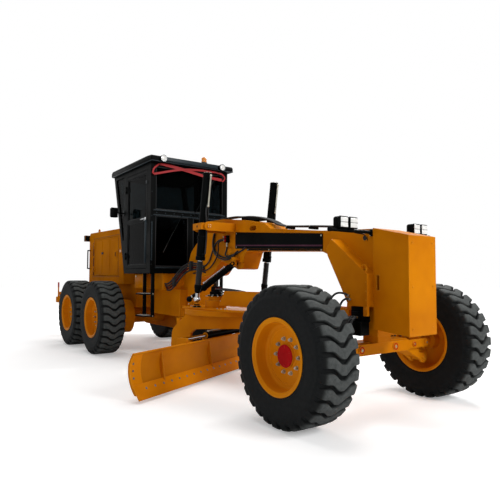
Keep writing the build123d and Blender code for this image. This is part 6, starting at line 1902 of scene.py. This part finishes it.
@dataclass
class RearGear(Assembly):
    """Covers on the tandem cases and points, tips and clips of the ripper."""

    axle_x: float = -2.21
    shanks: int = 5
    shank_step: float = 0.475

    def tandem(self) -> None:
        """Pivot cover, chain covers and bolts on the outer faces."""
        covers, bolts = blanks(2)
        section = [(0, 0), (0.17, 0), (0.17, 0.008), (0.15, 0.016), (0.09, 0.018), (0.08, 0.026), (0, 0.026)]
        for side in Side:
            spot, _ = touch("tandem_cases", (self.axle_x, side * 1.4, 0.66), (0, -side, 0))
            covers.turned(section, spot, side.out, 48)
            for x, z in ring_of(12, 0.16):
                bolts.bolt(spot + Vector((x, side * 0.011, z)), side.out, 0.01, 0.008)
            for x in (-3.15, -2.85, -2.55, -1.87, -1.57, -1.27):
                for z in (0.42, 0.9):
                    bolts.stud("tandem_cases", (x, side * 1.4, z), (0, -side, 0), 0.009, 0.006)
        covers.cast("tandem_covers", SHADED_REAR_PAINT, "rear_chassis")
        bolts.cast("tandem_bolts", SHADED_REAR_PAINT, "rear_chassis")

    def ripper(self) -> None:
        """Steel points, keeper plates and coloured marker tips."""
        points, keepers, tips, pins = blanks(4)
        for k in range(self.shanks):
            y = self.shank_step * (k - (self.shanks - 1) / 2)
            spot, _ = touch("ripper", (-4.53, y, 0.1), UP)
            points.slab((spot.x - 0.03, y - 0.03, 0.402), (spot.x + 0.02, y + 0.03, 0.52), 0.01)
            keepers.surround((y - 0.06, 0.79), (y + 0.06, 0.94), 0.018, 0.014, end_plane(-1, -4.5632))
            pins.bar((-4.52, y - 0.07, 0.955), (-4.52, y + 0.07, 0.955), 0.011, 16, 0.002)
        for side in Side:
            spot, _ = touch("ripper", (-4.498, side * 1.01, 2.0), DOWN)
            tips.bar(spot - Vector((0, 0, 0.1)), spot + Vector((0, 0, 0.004)), 0.0168, 20, 0.002)
        points.cast("ripper_points", STEEL, "ripper_beam")
        keepers.cast("shank_keepers", YELLOW, "ripper_beam")
        pins.cast("shank_pins", ZINC, "ripper_beam")
        tips.cast("marker_tips", RED, "ripper_beam")

    groups = (tandem, ripper)


@dataclass
class Studio(Assembly):
    """Camera at the photograph's angle, soft lamps and a pale floor."""

    place: Point = (7.4, -4.115, 1.381)
    heading: float = 144.067
    pitch: float = 2.766
    roll: float = 0.15
    lens: float = 35.19
    shift: Flat = (0.0005, 0.0083)
    world_light: float = 0.2
    floor_size: float = 60.0

    def camera(self) -> None:
        """Set up the camera."""
        data = bpy.data.cameras.new("view_camera")
        data.lens = self.lens
        data.sensor_width = 36.0
        data.shift_x, data.shift_y = self.shift
        data.clip_end = 200.0
        made = show("view_camera", data)
        turn = Matrix.Rotation(math.radians(self.heading - 90), 4, "Z")
        turn = turn @ Matrix.Rotation(math.radians(90 + self.pitch), 4, "X")
        turn = turn @ Matrix.Rotation(math.radians(self.roll), 4, "Z")
        made.matrix_world = Matrix.Translation(self.place) @ turn
        bpy.context.scene.camera = made

    def lamp(self, name: str, place: Point, target: Point, size: float, watts: float) -> None:
        """Hang one soft box that faces a point."""
        data = bpy.data.lights.new(name, "AREA")
        data.size = size
        data.energy = watts
        made = show(name, data)
        way = (Vector(target) - Vector(place)).to_track_quat("-Z", "Y").to_matrix().to_4x4()
        made.matrix_world = Matrix.Translation(place) @ way

    def lights(self) -> None:
        """Key from the front, fill from the right side, top, streak and rear lights."""
        self.lamp("key_box", (12.5, 2.2, 6.5), (1.5, 0, 1.2), 4.0, 740.0)
        self.lamp("fill_box", (5.5, -11.0, 5.0), (0.5, 0, 1.0), 7.0, 190.0)
        self.lamp("top_box", (0, 0, 11.0), (0, 0, 0), 8.0, 560.0)
        self.lamp("streak_box", (1.4, 8.8, 9.3), (2.5, 0, 1.5), 1.6, 420.0)
        self.lamp("rear_box", (-11.0, 5.0, 6.0), (-1.0, 0, 1.0), 6.0, 620.0)

    def world(self) -> None:
        """White surroundings to the eye and in reflections, plain grey as a light."""
        made = bpy.data.worlds.new("studio_world")
        made.use_nodes = True
        tree = made.node_tree
        tree.nodes.clear()
        path = add(tree, "LightPath")
        through = {0: path.outputs["Is Camera Ray"], 1: path.outputs["Is Transmission Ray"]}
        seen = add(tree, "Math", through, operation="MAXIMUM")
        seen = add(tree, "Math", {0: seen, 1: path.outputs["Is Glossy Ray"]}, operation="MAXIMUM")
        lit = add(tree, "Background", {"Color": grey(1.0), "Strength": self.world_light})
        white = add(tree, "Background", {"Color": grey(1.0), "Strength": 1.0})
        add(tree, "OutputWorld", {"Surface": add(tree, "MixShader", {0: seen, 1: lit, 2: white})})
        bpy.context.scene.world = made

    def floor(self) -> None:
        """Wide pale floor that keeps the machine's shadow."""
        made = bpy.data.materials.new("pale_studio_floor")
        made.use_nodes = True
        tree = made.node_tree
        tree.nodes.clear()
        place = add(tree, "TexCoord").outputs["Object"]
        cloud = add(tree, "TexNoise", {"Vector": place, "Scale": per(2500), "Detail": 2.0})
        tone = add(tree, "ValToRGB", {"Fac": cloud}, ((0.3, grey(0.93)), (0.7, grey(0.96))))
        matt = add(tree, "BsdfDiffuse", {"Color": tone})
        reach = add(tree, "VectorMath", {0: place}, operation="LENGTH").outputs["Value"]
        rise = {"Value": reach, "From Min": 5.0, "From Max": 12.0, "To Min": 0.3, "To Max": 0.9}
        level = add(tree, "MapRange", rise)
        glow = add(tree, "Emission", {"Color": grey(1.0), "Strength": level})
        path = add(tree, "LightPath")
        seen = add(tree, "Math", {0: path.outputs["Is Camera Ray"], 1: 0.999}, operation="MULTIPLY")
        lifted = add(tree, "AddShader", {0: matt, 1: glow})
        add(tree, "OutputMaterial", {"Surface": add(tree, "MixShader", {0: seen, 1: matt, 2: lifted})})
        part = bmesh.new()
        bmesh.ops.create_grid(part, x_segments=1, y_segments=1, size=self.floor_size)
        mesh = bpy.data.meshes.new("studio_floor")
        part.to_mesh(mesh)
        part.free()
        mesh.materials.append(made)
        show("studio_floor", mesh)
        bpy.context.scene.view_settings.view_transform = "Standard"

    groups = (camera, lights, world, floor)


def dress_carried_over() -> None:
    """Give every CAD node its finish."""
    by_node = {node: finish for finish, nodes in CARRIED_OVER.items() for node in nodes}
    for name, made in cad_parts.items():
        finish = by_node.get(name, YELLOW)
        made.data.materials.clear()
        made.data.materials.append(finish.material())


def main() -> None:
    """Build the studio and every sub-assembly in order."""
    logging.basicConfig(level=logging.INFO, format="%(name)s: %(message)s")
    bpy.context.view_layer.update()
    Studio().build()
    dress_carried_over()
    for row in Row:
        for side in Side:
            Wheel(row, side).build()
    BeamTrim().build()
    NoseTrim().build()
    WorkLamps().build()
    AxleTrim().build()
    for side in Side:
        LiftGear(side).build()
    ShiftGear().build()
    Cab().build()
    tie_ribbons()
    Interior().build()
    UnderCab().build()
    Steps().build()
    HoodTrim().build()
    BladeGear().build()
    DrawbarGear().build()
    RearGear().build()


if __name__ == "__main__":
    main()
